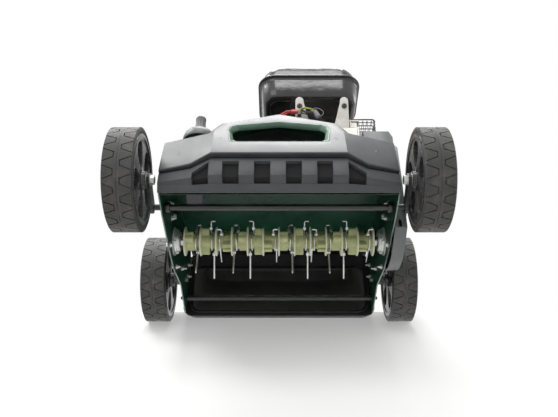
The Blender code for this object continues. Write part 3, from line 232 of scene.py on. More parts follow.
def lathe(profile, centre, direction=(1, 0, 0), steps=48, shape=None, closed=False):
    """A turned form. The profile is (radius, distance along the direction from the centre)."""
    turned = bmesh.new()
    rings = []
    for radius, along in profile:
        if radius < 1e-7:
            rings.append([turned.verts.new((0, 0, along))])
        else:
            rings.append([turned.verts.new((radius * math.cos(math.tau * i / steps),
                radius * math.sin(math.tau * i / steps), along)) for i in range(steps)])
    pairs = list(zip(rings, rings[1:])) + ([(rings[-1], rings[0])] if closed else [])
    for low, high in pairs:
        for i in range(steps):
            corners = [low[i % len(low)], low[(i + 1) % len(low)], high[(i + 1) % len(high)],
                high[i % len(high)]]
            unique = list(dict.fromkeys(corners))
            if len(unique) > 2:
                turned.faces.new(unique)
    return joined(turned, shape, Matrix.Translation(centre) @ aim(direction))


def joined(extra, shape=None, matrix=None):
    """One bmesh placed by a matrix and put into another."""
    if matrix:
        bmesh.ops.transform(extra, matrix=matrix, verts=extra.verts)
    if shape is None:
        return extra
    mesh = mesh_of(extra, "joined")
    shape.from_mesh(mesh)
    bpy.data.meshes.remove(mesh)
    return shape


def flat_solid(outline, depth, matrix, shape=None):
    """An outline in a plane, made solid along its own Z, then placed."""
    made = bmesh.new()
    face = made.faces.new([made.verts.new((u, v, 0)) for u, v in outline])
    grown = bmesh.ops.extrude_face_region(made, geom=[face])["geom"]
    moved = [item for item in grown if isinstance(item, bmesh.types.BMVert)]
    bmesh.ops.translate(made, vec=(0, 0, depth), verts=moved)
    return joined(made, shape, matrix)


# Plated fasteners: hexagon bolts, washers and nuts that hold the plates, bearings and rods. Zinc
# plate is bright with a faint grey bloom, and its threads break the light into fine rings.
zinc_plate = finish("zinc_plated_steel", "bright_steel", "#c6c8c5", "#e6e7e3", 1.6, 0.02, (0.24, 0.42),
    14, "#6d675a", 0.2, Metallic=0.7)


def hexagon(across_flats, turn=0.0):
    """The outline of a hexagon."""
    reach = across_flats / math.sqrt(3)
    return [(reach * math.cos(turn + math.tau * i / 6), reach * math.sin(turn + math.tau * i / 6))
        for i in range(6)]


def fastener(place, direction, across=0.008, head=0.0042, shank=0.0, turn=0.3, shape=None):
    """A washer, a hexagon with a turned crown, and the threaded end that stands out of a nut."""
    washer = across * 0.78
    shape = lathe([(0, 0), (washer, 0), (washer, 0.001), (0, 0.001)], place, direction, 20, shape)
    matrix = Matrix.Translation(place) @ aim(direction) @ Matrix.Translation((0, 0, 0.001))
    shape = flat_solid(hexagon(across, turn), head, matrix, shape)
    top = 0.001 + head
    crown = across * 0.46
    shape = lathe([(0, top - 0.0001), (crown, top - 0.0001), (crown * 0.9, top + 0.0005),
        (0, top + 0.0005)], place, direction, 18, shape)
    if shank:
        core = across * 0.29
        rings = [(0, top)]
        count = int(shank / 0.001)
        for i in range(count):
            rings += [(core, top + i * 0.001), (core * 0.86, top + (i + 0.5) * 0.001)]
        rings += [(core * 0.7, top + shank), (0, top + shank)]
        shape = lathe(rings, place, direction, 14, shape)
    return shape


# Where the fasteners sit on the side plates, as distance behind the front axle and height
PLATE_FASTENERS = [(0.02, 0.128, 0.006), (0.101, 0.115, 0.005), (0.145, 0.108, 0.005),
    (0.166, 0.128, 0.0), (0.238, 0.126, 0.0), (0.156, 0.05, 0.0), (0.252, 0.052, 0.005),
    (0.33, 0.091, 0.007), (0.42, 0.15, 0.006), (0.42, 0.118, 0.006)]
bolts = bmesh.new()
for side in (-1, 1):
    for s, z, shank in PLATE_FASTENERS:
        place = (side * (INNER - 0.0003), back(s), z)
        fastener(place, (-side, 0, 0), shank=shank, turn=s * 40, shape=bolts)
        outside = (side * (HALF_DECK + 0.0003), back(s), z)
        if side < 0 or s > 0.3:
            fastener(outside, (side, 0, 0), 0.008, 0.003, turn=s * 25, shape=bolts)
    # The nuts on the rear cross rod's threaded ends
    fastener((side * (HALF_DECK + 0.0003), back(0.436), 0.068), (side, 0, 0), 0.01, 0.005, 0.0, 0.2,
        bolts)
piece("plate_fasteners", bolts, zinc_plate, bevel=0.0003, segments=1)


# Front axle crank, cross rods. Round steel bar with flat arms welded on, brushed over with black
# paint that pools to a semi-gloss skin. The grey lever plate near the left end meets the depth screw.
black_enamel = finish("black_enamel_painted_steel", "black_paint", "#101112", "#1f2022", 1.8, 0.05,
    (0.26, 0.42), 70, "#5a574c", 0.22, Coat_Weight=0.25, Coat_Roughness=0.2)
grey_plate = finish("phosphated_steel_plate", "black_paint", "#3f3d42", "#565459", 2.0, 0.04,
    (0.38, 0.55), 30, "#8a8474", 0.3, Metallic=0.35)
dress("front_axle_crank", black_enamel, 0.0008)
dress("rear_cross_rod", black_enamel, 0.0006)

ROD_BACK, ROD_Z = 0.058, 0.0765
LEVER_X, LEVER_HALF = -0.165, 0.0152
lever_skin = bmesh.new()
lever_side = [(ROD_BACK - 0.0008, ROD_Z + 0.0064), (0.02415, 0.1023), (0.0217, 0.0979),
    (ROD_BACK - 0.004, ROD_Z + 0.003)]
rows = [[lever_skin.verts.new((LEVER_X + x, back(s), z)) for s, z in lever_side] for x in (-LEVER_HALF,
    LEVER_HALF)]
for i in range(4):
    lever_skin.faces.new((rows[0][i - 1], rows[0][i], rows[1][i], rows[1][i - 1]))
for row in rows:
    lever_skin.faces.new(row)
piece("axle_lever_plate", lever_skin, grey_plate, body="front_axle", bevel=0.0006)


def mm(*values):
    """Numbers in millimetres, two by two, as points in metres."""
    return [(u / 1000, v / 1000) for u, v in zip(values[::2], values[1::2])]


# Collars that keep the front rod central between the side plates, each with a grub screw
collars = bmesh.new()
for side in (-1, 1):
    lathe(mm(6.4,0, 10,0.4, 10.5,1.2, 10.5,9.8, 10,10.6, 6.4,11), (side * 0.2235, back(ROD_BACK), ROD_Z),
        (-side, 0, 0), 32, collars, True)
piece("front_rod_collars", collars, black_enamel, body="front_axle")

# Spindle nuts, washers and spacers between the crank's arms and the hubs
spindles = bmesh.new()
for side in (-1, 1):
    fastener((side * 0.2449, back(0), 0.1), (-side, 0, 0), 0.0165, 0.007, 0.0, 0.25, spindles)
    lathe(mm(6.6,0, 15,0, 15,0.7, 6.6,0.7), (side * 0.25115, back(0), 0.1), (side, 0, 0), 28, spindles,
        True)
piece("front_spindle_nuts", spindles, zinc_plate, body="front_axle", bevel=0.0004, segments=1)


# Wheels. Polypropylene discs 200 mm across, a thick box moulding almost level with the rim towards
# the machine, with five petal openings right through it. The tread has thinly outlined wedge
# blocks in two staggered rows.
WHEEL_R = 0.1
TREAD_PITCHES = 19
GROOVE, GROOVE_DEPTH = 0.0019, 0.0023
TRACK_HALF = 0.2865
WHEELBASE = 0.4
PETALS = 5
DISC_TURN = {-1: math.pi / 5, 1: math.radians(-21)}


def tread_ring(side, shape):
    """One half of the tread as a closed ring, its wedge blocks a half pitch from the other half's."""
    pitch = math.tau / TREAD_PITCHES
    gap = GROOVE / WHEEL_R
    edge, inner = 0.0262, 0.0072
    low = WHEEL_R - GROOVE_DEPTH
    wide, narrow = 0.36 * pitch, 0.13 * pitch
    # Each row: distance from the middle, half angle of a wedge, radius of plain, wedge and groove
    rows = [(0.0002, wide, 0.0885, 0.0885, 0.0885), (0.0262, wide, 0.0885, 0.0885, 0.0885),
        (0.0282, wide, 0.0935, 0.0935, 0.0935), (0.0276, wide, 0.0968, 0.0968, low - 0.0012),
        (edge, wide, WHEEL_R, WHEEL_R, low), (inner, narrow, WHEEL_R, WHEEL_R, low),
        (inner, narrow, WHEEL_R, low, low), (inner - GROOVE, narrow, WHEEL_R, low, low),
        (inner - GROOVE, narrow, WHEEL_R, WHEEL_R, WHEEL_R), (0.0002, narrow, WHEEL_R - 0.0002,
        WHEEL_R - 0.0002, WHEEL_R - 0.0002)]
    start = 0.0 if side > 0 else pitch / 2
    ring = bmesh.new()
    columns = []
    for count in range(TREAD_PITCHES):
        middle = start + (count + 0.5) * pitch
        for kind, share in (("plain", -2.0), ("plain", -1.5), ("plain", -1.0), ("groove", -1.0),
                ("groove", -0.5), ("wedge", -0.5), ("wedge", 0.0), ("wedge", 0.5), ("groove", 0.5),
                ("groove", 1.0), ("plain", 1.0), ("plain", 1.5)):
            column = []
            for across, half, plain_r, wedge_r, groove_r in rows:
                radius = {"plain": plain_r, "wedge": wedge_r, "groove": groove_r}[kind]
                size = abs(share)
                if size <= 0.5:
                    turn = half * size * 2
                elif size <= 1.0:
                    turn = half + gap
                else:
                    turn = half + gap + (pitch / 2 - half - gap) * (size - 1.0)
                turn = middle + math.copysign(turn, share)
                column.append(ring.verts.new((side * across, radius * math.cos(turn),
                    radius * math.sin(turn))))
            columns.append(column)
    for i, column in enumerate(columns):
        for j in range(len(rows)):
            ring.faces.new((columns[i - 1][j - 1], columns[i - 1][j], column[j], column[j - 1]))
    bmesh.ops.remove_doubles(ring, verts=ring.verts, dist=0.000002)
    return joined(ring, shape)


def evaluated(item):
    """A new mesh of an object as its modifiers or its curve settings make it."""
    bpy.context.view_layer.update()
    return bpy.data.meshes.new_from_object(item.evaluated_get(bpy.context.evaluated_depsgraph_get()))


def settled(item):
    """The object's mesh with its modifiers worked in."""
    mesh = evaluated(item)
    old = item.data
    item.modifiers.clear()
    item.data = mesh
    mesh.name = item.name
    if old.users == 0:
        bpy.data.meshes.remove(old)
    return mesh


def upright(x, y=FRONT_AXLE_Y):
    """Stands an outline of (distance behind, height) upright, with its own Z along X, from an X on."""
    return Matrix(((0, 0, 1, x), (1, 0, 0, y), (0, 1, 0, 0), (0, 0, 0, 1)))


def cut(item, cutter, operation="DIFFERENCE"):
    """Takes a bmesh away from an object's mesh for good, or joins it on."""
    bmesh.ops.recalc_face_normals(cutter, faces=cutter.faces)
    tool = shown("tool", mesh_of(cutter, "tool"))
    step = item.modifiers.new("cut", "BOOLEAN")
    step.operation, step.solver, step.object = operation, "EXACT", tool
    settled(item)
    data = tool.data
    bpy.data.objects.remove(tool)
    bpy.data.meshes.remove(data)


# Moulded polypropylene with a dusty, scuffed skin, duller where it meets the ground
wheel_tread = finish("moulded_polypropylene_tread", "wheel_plastic", "#2c2b2b", "#434241", 2.6, 0.16,
    (0.46, 0.66), 26, "#8d887c", 0.38)
wheel_disc = finish("moulded_polypropylene_disc", "wheel_plastic", "#2b2a2b", "#3e3d3e", 2.2, 0.04,
    (0.18, 0.32), 45, "#7c776c", 0.16)

disc_shape = lathe(mm(6.6,-34.4, 15.8,-34.4, 16.8,-33.6, 17.6,-27.2, 19.2,-26.2, 30,-26, 60,-26.2,
    69,-26.2, 77,-26.2, 79,-26.8, 80,-28, 81.2,-28.4, 85,-28.4, 88,-27.4, 89,-25, 89,25, 88,27.4, 85,28.4,
    81.2,28.4, 79.6,27.4, 78.8,18, 77.8,6.8, 76.4,4.6, 30,3.2, 22.5,4, 19,7, 17.2,21.8, 16,22.4,
    6.6,22.4), (0, 0, 0), (1, 0, 0), 80, None, True)
bmesh.ops.recalc_face_normals(disc_shape, faces=disc_shape.faces)
disc_maker = shown("disc_maker", mesh_of(disc_shape, "wheel_disc"))
petals = bmesh.new()
for i in range(PETALS):
    turn = math.tau * i / PETALS
    outline = []
    for j in range(32):
        a = math.tau * j / 32
        out, along = 0.0495 + 0.0255 * math.cos(a), (0.0205 + 0.0085 * math.cos(a)) * math.sin(a)
        outline.append((out * math.cos(turn) - along * math.sin(turn), out * math.sin(turn) + along
            * math.cos(turn)))
    flat_solid(outline, 0.05, upright(-0.035, 0), petals)
cut(disc_maker, petals)
ease(disc_maker, 0.0011, 3, 50)
disc_mesh = smoothed(settled(disc_maker), 38)
disc_mesh.materials.clear()
disc_mesh.materials.append(wheel_disc)
bpy.data.objects.remove(disc_maker)

for end, behind in (("front", 0.0), ("rear", WHEELBASE)):
    for label, side in (("left", -1), ("right", 1)):
        body = f"wheel_{end[0]}{label[0]}"
        centre = (side * TRACK_HALF, back(behind), WHEEL_R)
        tread = tread_ring(-1, tread_ring(1, None))
        piece(f"wheel_{end}_{label}_tread", tread, wheel_tread, body=body, place=centre)
        disc = shown(f"wheel_{end}_{label}_disc", disc_mesh.copy())
        disc.location = centre
        # Turned as the photograph shows: a left wheel's petals straddle its foremost point
        disc.data.transform(Matrix.Rotation(0 if side > 0 else math.pi, 4, "Z")
            @ Matrix.Rotation(DISC_TURN[side], 4, "X"))
        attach(disc, body)
        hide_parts(f"wheel_{end}_{label}")
        # The push-on cap that hides the spindle's nut
        cap = lathe(mm(0,28.3, 6,28.2, 12.5,27.2, 15.5,25.4, 16.3,22.6, 6.6,22.6, 6.6,24, 0,24),
            (0, 0, 0), (side, 0, 0), 40)
        piece(f"wheel_{end}_{label}_cap", cap, wheel_disc, body=body, place=centre)


# Rotor. A bright steel shaft carries a stack of moulded nylon spacers, left in nylon's own milky
# pale green-yellow, so light goes a little way in and softens their edges.
BAYS, BAY_PITCH = 12, 0.0333
ROTOR_HALF = BAYS * BAY_PITCH / 2
ROTOR = Vector((0, back(0.2), 0.085))
DISC_R, DISC_T, CORE_R = 0.0315, 0.004, 0.016
REST_TILT = math.radians(-34)
LOBE_TURN = (-60, 0, 60)
TINE_TURN = (38, 0, -52)
LOBE_W = 0.0176
LOBE_NEAR = DISC_T / 4 - BAY_PITCH / 2

turned_steel = finish("turned_bright_steel", "bright_steel", "#a9aaa8", "#cfcfcc", 1.4, 0.04, (0.2, 0.36),
    20, "#5d574c", 0.25, stretch=(0.1, 1, 1), Metallic=1.0)
dress("rotor_shaft", turned_steel, 0.0005)
nylon = finish("natural_moulded_nylon", "nylon", "#a9ad78", "#ccd09d", 3.0, 0.05, (0.34, 0.48), 22,
    "#7a7556", 0.25, Subsurface_Weight=0.45, Subsurface_Radius=(0.006, 0.006, 0.003),
    Subsurface_Scale=1.0, IOR=1.53)


def bay_middle(bay):
    """X of the middle of a bay between two discs."""
    return -ROTOR_HALF + (bay + 0.5) * BAY_PITCH


def bay_hand(bay):
    """The lobes and wires change sides every third bay."""
    return -1 if (bay + 1) // 3 % 2 else 1


def turned_by(angle):
    """A turn about the rotor's own axis, from the machine's Z towards its Y."""
    return Matrix.Translation(ROTOR) @ Matrix.Rotation(-angle, 4, "X")


spacers = bmesh.new()
profile = [(0.0102, -ROTOR_HALF - DISC_T / 2)]
for i in range(BAYS + 1):
    x = -ROTOR_HALF + i * BAY_PITCH
    low, high = x - DISC_T / 2, x + DISC_T / 2
    if i:
        profile += [(CORE_R, low - 0.002), (CORE_R + 0.0006, low - 0.0006), (CORE_R + 0.0022, low)]
    profile += [(DISC_R - 0.0024, low + 0.0002), (DISC_R - 0.0006, low + 0.0007), (DISC_R, x - 0.0006),
        (DISC_R, x + 0.0006), (DISC_R - 0.0006, high - 0.0007), (DISC_R - 0.0024, high - 0.0002)]
    if i < BAYS:
        profile += [(CORE_R + 0.0022, high), (CORE_R + 0.0006, high + 0.0006), (CORE_R, high + 0.002),
            (CORE_R, x + 0.0162), (CORE_R - 0.0004, x + 0.0164), (CORE_R - 0.0004, x + 0.0169),
            (CORE_R, x + 0.0171)]
profile.append((0.0102, ROTOR_HALF + DISC_T / 2))
lathe(profile, ROTOR, (1, 0, 0), 48, spacers, True)
spacer_stack = piece("rotor_nylon_spacers", spacers, nylon, "rotor_hub_stack", "rotor", smooth=50)
# The discs' thin rims let light through; that light is painted in as a colour paler than the cores
thin_nylon_painted_glow = finish("thin_nylon_painted_transmitted_light", "nylon", "#dde1bf", "#eff1d9", 3.0, 0.04, (0.36, 0.5), 22,
    "#7d7a58", 0.2, Subsurface_Weight=0.2, Subsurface_Scale=0.004)
spacer_stack.data.materials.append(thin_nylon_painted_glow)
for face in spacer_stack.data.polygons:
    if math.hypot(face.center.y - ROTOR.y, face.center.z - ROTOR.z) > CORE_R + 0.0035:
        face.material_index = 1

# The lobes of each spacer that hold the wire, slotted across their tops
lobes = bmesh.new()
for bay in range(BAYS):
    start = bay_middle(bay) + min(bay_hand(bay) * LOBE_NEAR, bay_hand(bay) * (LOBE_NEAR + LOBE_W))
    turn = REST_TILT + math.radians(LOBE_TURN[bay % 3])
    for facing in (0, math.pi):
        outline = mm(-10,12, 10,12, 10,24.5, 8.8,27.2, 6.2,28.3, 2.6,28.3, 2.2,24, -2.2,24, -2.6,28.3,
            -6.2,28.3, -8.8,27.2, -10,24.5)
        flat_solid(outline, LOBE_W, turned_by(turn + facing) @ upright(start, 0), lobes)
piece("rotor_spacer_lobes", lobes, nylon, body="rotor", bevel=0.0006)

# Spring tines: 3.4 mm hard-drawn wire, bright and lightly oiled, wound once and a half round the
# spacer between a hooked end and the long leg that combs the turf.
spring_wire = finish("hard_drawn_spring_wire", "bright_steel", "#c2c3c2", "#e2e2e0", 1.2, 0.006,
    (0.22, 0.34), 30, "#6f6a5e", 0.12, Metallic=0.8)
TINE_R, WIRE_R = 0.08, 0.0017
HOOK_R, COIL_PITCH, COIL_TURNS = 0.043, 0.0045, 1.5
COIL_R = CORE_R + WIRE_R + 0.0014


def rounded_path(points, radius, steps=5):
    """A path of straight runs with an arc at each corner."""
    corners = [Vector(p) for p in points]
    path = [corners[0]]
    for before, corner, after in zip(corners, corners[1:], corners[2:]):
        inward, outward = (before - corner).normalized(), (after - corner).normalized()
        half = inward.angle(outward) / 2
        if math.pi / 2 - half < 0.01:
            path.append(corner)
            continue
        reach = radius / math.tan(half)
        centre = corner + (inward + outward).normalized() * radius / math.sin(half)
        first, last = corner + inward * reach - centre, corner + outward * reach - centre
        sweep = first.angle(last)
        for i in range(steps + 1):
            t = i / steps
            path.append(centre + (first * math.sin((1 - t) * sweep) + last * math.sin(t * sweep))
                / math.sin(sweep))
    path.append(corners[-1])
    return path


def bar(name, paths, radius, material, stands_for=None, body="chassis", sides=4, taper=None,
        closed=False):
    """Round bar or wire along one or more paths. Taper gives the last points' share of the radius."""
    curve = bpy.data.curves.new(name, "CURVE")
    curve.dimensions = "3D"
    for path in paths:
        spline = curve.splines.new("POLY")
        spline.points.add(len(path) - 1)
        for i, (spot, point) in enumerate(zip(spline.points, path)):
            spot.co = (*point, 1)
            if taper and i == len(path) - 1:
                spot.radius = taper
        spline.use_cyclic_u = closed
        spline.use_smooth = True
    curve.bevel_depth, curve.bevel_resolution, curve.use_fill_caps = radius, sides, not closed
    maker = shown(name, curve)
    mesh = evaluated(maker)
    bpy.data.objects.remove(maker)
    bpy.data.curves.remove(curve)
    mesh.name = name
    mesh.materials.clear()
    return seat(name, smoothed(mesh, 50), material, stands_for, body)


def tine_at(bay):
    """A tine's hand, its turn about the shaft, and X at the coil's two ends."""
    hand = bay_hand(bay)
    turn = math.pi + REST_TILT + math.radians(TINE_TURN[bay % 3])
    first_x = bay_middle(bay) + hand * (LOBE_NEAR + LOBE_W + WIRE_R + 0.001)
    return hand, turn, first_x, first_x + hand * COIL_TURNS * COIL_PITCH


for bay in range(BAYS):
    hand, turn, first_x, last_x = tine_at(bay)
    out = Vector((0, math.sin(turn), math.cos(turn)))
    hook = [ROTOR + Vector((first_x + hand * 0.009, 0, 0)) - out * HOOK_R, ROTOR + Vector((first_x, 0, 0))
        - out * HOOK_R, ROTOR + Vector((first_x, 0, 0)) - out * (COIL_R + 0.006)]
    coil = []
    for i in range(37):
        t = i / 36
        angle = turn + math.pi + t * COIL_TURNS * math.tau
        reach = COIL_R + 0.003 * max(1 - 6 * t, 6 * t - 5, 0)
        coil.append(ROTOR + Vector((first_x + (last_x - first_x) * t, math.sin(angle) * reach,
            math.cos(angle) * reach)))
    leg = [ROTOR + Vector((last_x, 0, 0)) + out * reach for reach in (COIL_R + 0.008, 0.048, 0.0785,
        TINE_R)]
    bar(f"tine_wire_{bay + 1:02d}", [rounded_path(hook, 0.003) + coil + leg], WIRE_R, spring_wire,
        f"spring_tine_{bay + 1:02d}", "rotor", sides=3, taper=0.7)

# The steel eyes that pinch each wire where it leaves the spacer
EYE_REACH, EYE_LONG = 0.0242, 0.0064
eyes = bmesh.new()
for bay in range(BAYS):
    hand, turn, first_x, last_x = tine_at(bay)
    for x, facing in ((last_x, 0), (first_x, math.pi)):
        eye = block((-0.0034, -0.0036, EYE_REACH), (0.0034, 0.0036, EYE_REACH + EYE_LONG))
        joined(eye, eyes, turned_by(turn + facing) @ Matrix.Translation((x, 0, 0)))
piece("tine_eyes", eyes, zinc_plate, body="rotor", bevel=0.0009)


# Rotor bearings. Pressed steel cups, ribbed round the ball race, on plates bolted to the side plates.
for side, label in ((-1, "left"), (1, "right")):
    face = side * (INNER - 0.0003)
    cup = lathe(mm(10.3,0, 30.2,0, 31,0.8, 31,2.2, 30,3, 24.5,3.4, 23.2,4.6, 22.8,7, 21.6,7.4, 21.6,8.6,
        22.6,9, 22.4,11, 21.2,11.4, 21.2,12.6, 22,13, 21.4,14.2, 19.6,14.9, 15,15, 14,13.8, 10.3,13.8),
        (face, ROTOR.y, ROTOR.z), (-side, 0, 0), 56, None, True)
    piece(f"bearing_cup_{label}", cup, zinc_plate, f"bearing_housing_{label}", smooth=40)
bearing_bolts = bmesh.new()
for side in (-1, 1):
    for i in range(3):
        turn = math.radians(90 + 120 * i)
        place = (side * (INNER - 0.0031), ROTOR.y + 0.0272 * math.cos(turn), ROTOR.z + 0.0272
            * math.sin(turn))
        fastener(place, (-side, 0, 0), 0.0062, 0.0036, 0.002, turn, bearing_bolts)
piece("bearing_bolts", bearing_bolts, zinc_plate, bevel=0.0003, segments=1)


# Front cover. One injection moulding in black polypropylene, screwed over the deck's nose. Flat
# facets meet in soft creases, a dark step runs under the brow, and six blind vents are cored below it.
COVER_W = 0.456
COVER_WALL = 0.003
FLAT_SHARE, FLANK_SHARE = 0.28, 0.085
HUMP_SHARE, HUMP_FOOT_SHARE = 0.2544, 0.3026
VENT_DEPTH, VENT_DRAFT = 0.0075, 0.0012
# Each vent's left and right edge, and the height of its top at each edge
VENTS = [(-0.1625, -0.131, 0.093, 0.112), (-0.1055, -0.0745, 0.113, 0.113), (-0.0465, -0.0158, 0.113,
    0.113), (0.0125, 0.0428, 0.113, 0.113), (0.0708, 0.1003, 0.113, 0.113),
    (0.1293, 0.1628, 0.112, 0.093)]


def nose_at(x):
    """How far from the middle a place across the cover is, and how far forward its nose stands."""
    side = abs(x) / COVER_W
    return side, 1 - min(max((side - FLAT_SHARE) / (0.5 - FLAT_SHARE), 0), 1)


def cover_crown(x):
    """The crown and the crease below it, as distance behind the axle and height."""
    side, nose = nose_at(x)
    crease = Vector((0.004 - 0.024 * nose, 0.194 + 0.0079 * nose))
    slope = 1 - min(side, HUMP_SHARE) / FLAT_SHARE
    ridge = Vector((0.0284 * slope, 0.2392 + 0.0534 * slope))
    hump = min(max((HUMP_FOOT_SHARE - side) / (HUMP_FOOT_SHARE - HUMP_SHARE), 0), 1)
    return (crease + Vector((0.008, 0.006))).lerp(ridge, hump), crease


def vent_at(x):
    """Whether a place across the cover lies within a vent's walls, and the height of the top there."""
    for left, right, top_left, top_right in VENTS:
        if left - 1e-6 <= x <= right + 1e-6:
            share = (x - left) / (right - left)
            inside = left + VENT_DRAFT - 1e-6 <= x <= right - VENT_DRAFT + 1e-6
            return inside, top_left + (top_right - top_left) * share
    return False, 0.1075


def cover_column(x):
    """The cover's face at one place across it: distance behind the axle and height, from the back."""
    side, nose = nose_at(x)
    flank = min(max((side - FLAT_SHARE) / FLANK_SHARE, 0), 1)
    crown, crease = cover_crown(x)
    brow = Vector((-0.018 - 0.034 * nose, 0.11 + 0.016 * (1 - flank)))
    band = Vector((-0.014 - 0.028 * nose, 0.104 + 0.016 * (1 - flank)))
    bend, foot = Vector((-0.016 - 0.024 * nose, 0.082)), Vector((-0.006, 0.0665))
    inside, top = vent_at(x)
    top = min(top, band.y - 0.003)

    def on_band(z):
        return bend.lerp(band, (z - bend.y) / (band.y - bend.y))

    low = bend.lerp(foot, 0.5)
    pushed = Vector((VENT_DEPTH if inside else 0.0, 0.0))
    roof = Vector((crown.x + 0.03, crown.y + 0.002))
    lip = Vector((0.09, crown.y - 0.002))
    return [Vector((0.096, 0.205)), lip, roof.lerp(lip, 0.4), roof,
        crown.lerp(roof, 0.4) + Vector((0, 0.0008)), crown,
        crown.lerp(crease, 0.5) + Vector((-0.0004, 0.0002)), crease,
        crease.lerp(brow, 0.35) + Vector((-0.0006, 0.0002)),
        crease.lerp(brow, 0.7) + Vector((-0.0006, 0.0002)), brow,
        brow + Vector((0.0007, -0.0026)), brow + Vector((0.015, -0.003)),
        band + Vector((0.0012, 0.0004)), band + Vector((0, -0.0012)),
        on_band(top), on_band(top - VENT_DRAFT) + pushed, on_band((top + bend.y) / 2) + pushed,
        bend + pushed, low + Vector((0, VENT_DRAFT)) + pushed, low,
        foot.lerp(low, 0.35), foot, foot + Vector((0.0035, 0.0012))]


# Which points of a column are the crown, the crease and the brow
CROWN, CREASE, BROW = 5, 7, 10
places = []
for share in (0.0, 0.14, HUMP_SHARE, FLAT_SHARE, HUMP_FOOT_SHARE, 0.32, 0.365, 0.4, 0.43, 0.465, 0.493,
        0.5):
    places += [-share * COVER_W, share * COVER_W]
for left, right, _, _ in VENTS:
    places += [left, left + VENT_DRAFT, (left + right) / 2, right - VENT_DRAFT, right]
places = sorted(set(round(x, 6) for x in places))
cover_shape = bmesh.new()
columns = [[cover_shape.verts.new((x, back(p.x), p.y)) for p in cover_column(x)] for x in places]
for left, right in zip(columns, columns[1:]):
    for i in range(len(left) - 1):
        cover_shape.faces.new((left[i], left[i + 1], right[i + 1], right[i]))
cover = shown("cover_maker", mesh_of(cover_shape, "front_cover_moulding"))
wall = cover.modifiers.new("wall", "SOLIDIFY")
wall.thickness, wall.offset = COVER_WALL, -1
settled(cover)


def skin(shape, rings):
    """Faces between each ring of corners and the next."""
    for near, far in zip(rings, rings[1:]):
        for i in range(len(near)):
            shape.faces.new((near[i - 1], near[i], far[i], far[i - 1]))


def slot_outline(grow):
    """The carry slot seen from the front, with its peaked top and clipped corners."""
    half, low, high = 0.0965 + grow, 0.1668 - grow, 0.234 + grow
    right = [(half - 0.0105, low), (half - 0.003, low + 0.0062), (half, 0.2015), (half + 0.002, 0.2145),
        (half - 0.003, high - 0.006), (half - 0.011, high)]
    return right + [(0, high + 0.0175)] + [(-x, z) for x, z in reversed(right)]


def slot_ring(shape, grow, depth):
    """The slot's outline, grown all round, at a depth behind the cover's sloping face."""
    ring = []
    for x, z in slot_outline(grow):
        column = cover_column(x)
        high, low = column[CROWN], column[CREASE]
        if z <= low.y:
            high, low = low, column[BROW]
        s = high.x + (low.x - high.x) * (high.y - z) / (high.y - low.y)
        ring.append(shape.verts.new((x, back(s + depth), z + 0.093 * depth)))
    return ring


slot_cutter = bmesh.new()
near, far = slot_ring(slot_cutter, 0.004, -0.02), slot_ring(slot_cutter, 0.004, 0.014)
skin(slot_cutter, [near, far])
slot_cutter.faces.new(near)
slot_cutter.faces.new(far)
cut(cover, slot_cutter)
cut(cover, lathe(mm(0,-20, 11,-20, 11,60, 0,60), (-0.163, back(0.03), 0.17), (0, 0, 1), 32))

# Satin polypropylene: a fine spark-eroded grain, gone grey and greasy with light scuffs
cover_skin = finish("moulded_polypropylene_cover", "black_plastic", "#3c3d3f", "#4b4c4e", 1.4, 0.06,
    (0.36, 0.5), 70, "#7d7c78", 0.12, Specular_IOR_Level=0.5)
# Inside the vents the mould's grain is left coarse and dull, and the colour is painted near-black as the
# shade in the recesses
painted_shade_plastic = finish("polypropylene_painted_shade", "black_plastic", "#111112", "#1b1b1c", 1.0, 0.05,
    (0.62, 0.8), 40, Specular_IOR_Level=0.25)
cover.data.materials.clear()
cover.data.materials.append(cover_skin)
cover.data.materials.append(painted_shade_plastic)
# Faces recessed in the vents take the near-black painted shade
for face in cover.data.polygons:
    middle = face.center
    s = middle.y - FRONT_AXLE_Y
    inside, top = vent_at(middle.x)
    nose = nose_at(middle.x)[1]
    recess = s > (-0.016 - 0.024 * nose) + 0.0048 + max(0.082 - middle.z, 0) * 2.2
    if inside and 0.0745 < middle.z < top and recess:
        face.material_index = 1
ease(cover, 0.0009, 3, 14)
cover_mesh = smoothed(settled(cover), 40)
bpy.data.objects.remove(cover)
seat("front_cover_moulding", cover_mesh, cover_skin, "front_cover")

# Sunk screws that hold the cover down, in dimples beside the creases, and the mould's round marks
marks = bmesh.new()
for x, z, radius in ((-0.1935, 0.15, 0.0062), (0.1915, 0.153, 0.0062), (-0.113, 0.176, 0.0045),
        (0.1115, 0.176, 0.0045)):
    column = cover_column(x)
    crease, brow = column[CREASE], column[BROW]
    share = (crease.y - z) / (crease.y - brow.y)
    s = crease.x + (brow.x - crease.x) * share
    slope = (brow - crease).normalized()
    lean = (math.copysign(0.34, x) if abs(x) > 0.13 else 0, slope.y, -slope.x)
    centre = Vector((x, back(s), z))
    lathe([(0, -0.0016), (radius * 0.55, -0.0016), (radius * 0.62, 0.0005), (radius * 0.8, 0.0009),
        (radius, 0.0002), (radius, -0.0018), (0, -0.0018)], centre, lean, 28, marks)
piece("cover_moulding_marks", marks, cover_skin, bevel=0.0002)

# Carry slot's rim: the edge of the green carry panel, drawn forward into a smooth collar
rim = bmesh.new()
loops = [slot_ring(rim, grow, depth) for grow, depth in ((0.0036, 0.005), (0.0036, 0.0002),
    (0.0032, -0.0007), (0.0024, -0.001), (0.0014, -0.0006), (-0.002, 0.005), (-0.0046, 0.011),
    (-0.005, 0.015), (-0.004, 0.0152), (-0.0034, 0.0115), (-0.0008, 0.0058))]
skin(rim, loops + loops[:1])
# The same coat painted paler on the rim, as a painted reflection of the bright light its gloss catches
rim_coat_painted_reflection = finish("green_coat_painted_pale_reflection", "green_paint", "#5b7566", "#7d9686", 2.2, 0.05,
    (0.34, 0.48), 40, "#93a498", 0.35)
piece("carry_slot_rim", rim, rim_coat_painted_reflection, bevel=0.0005, smooth=50)


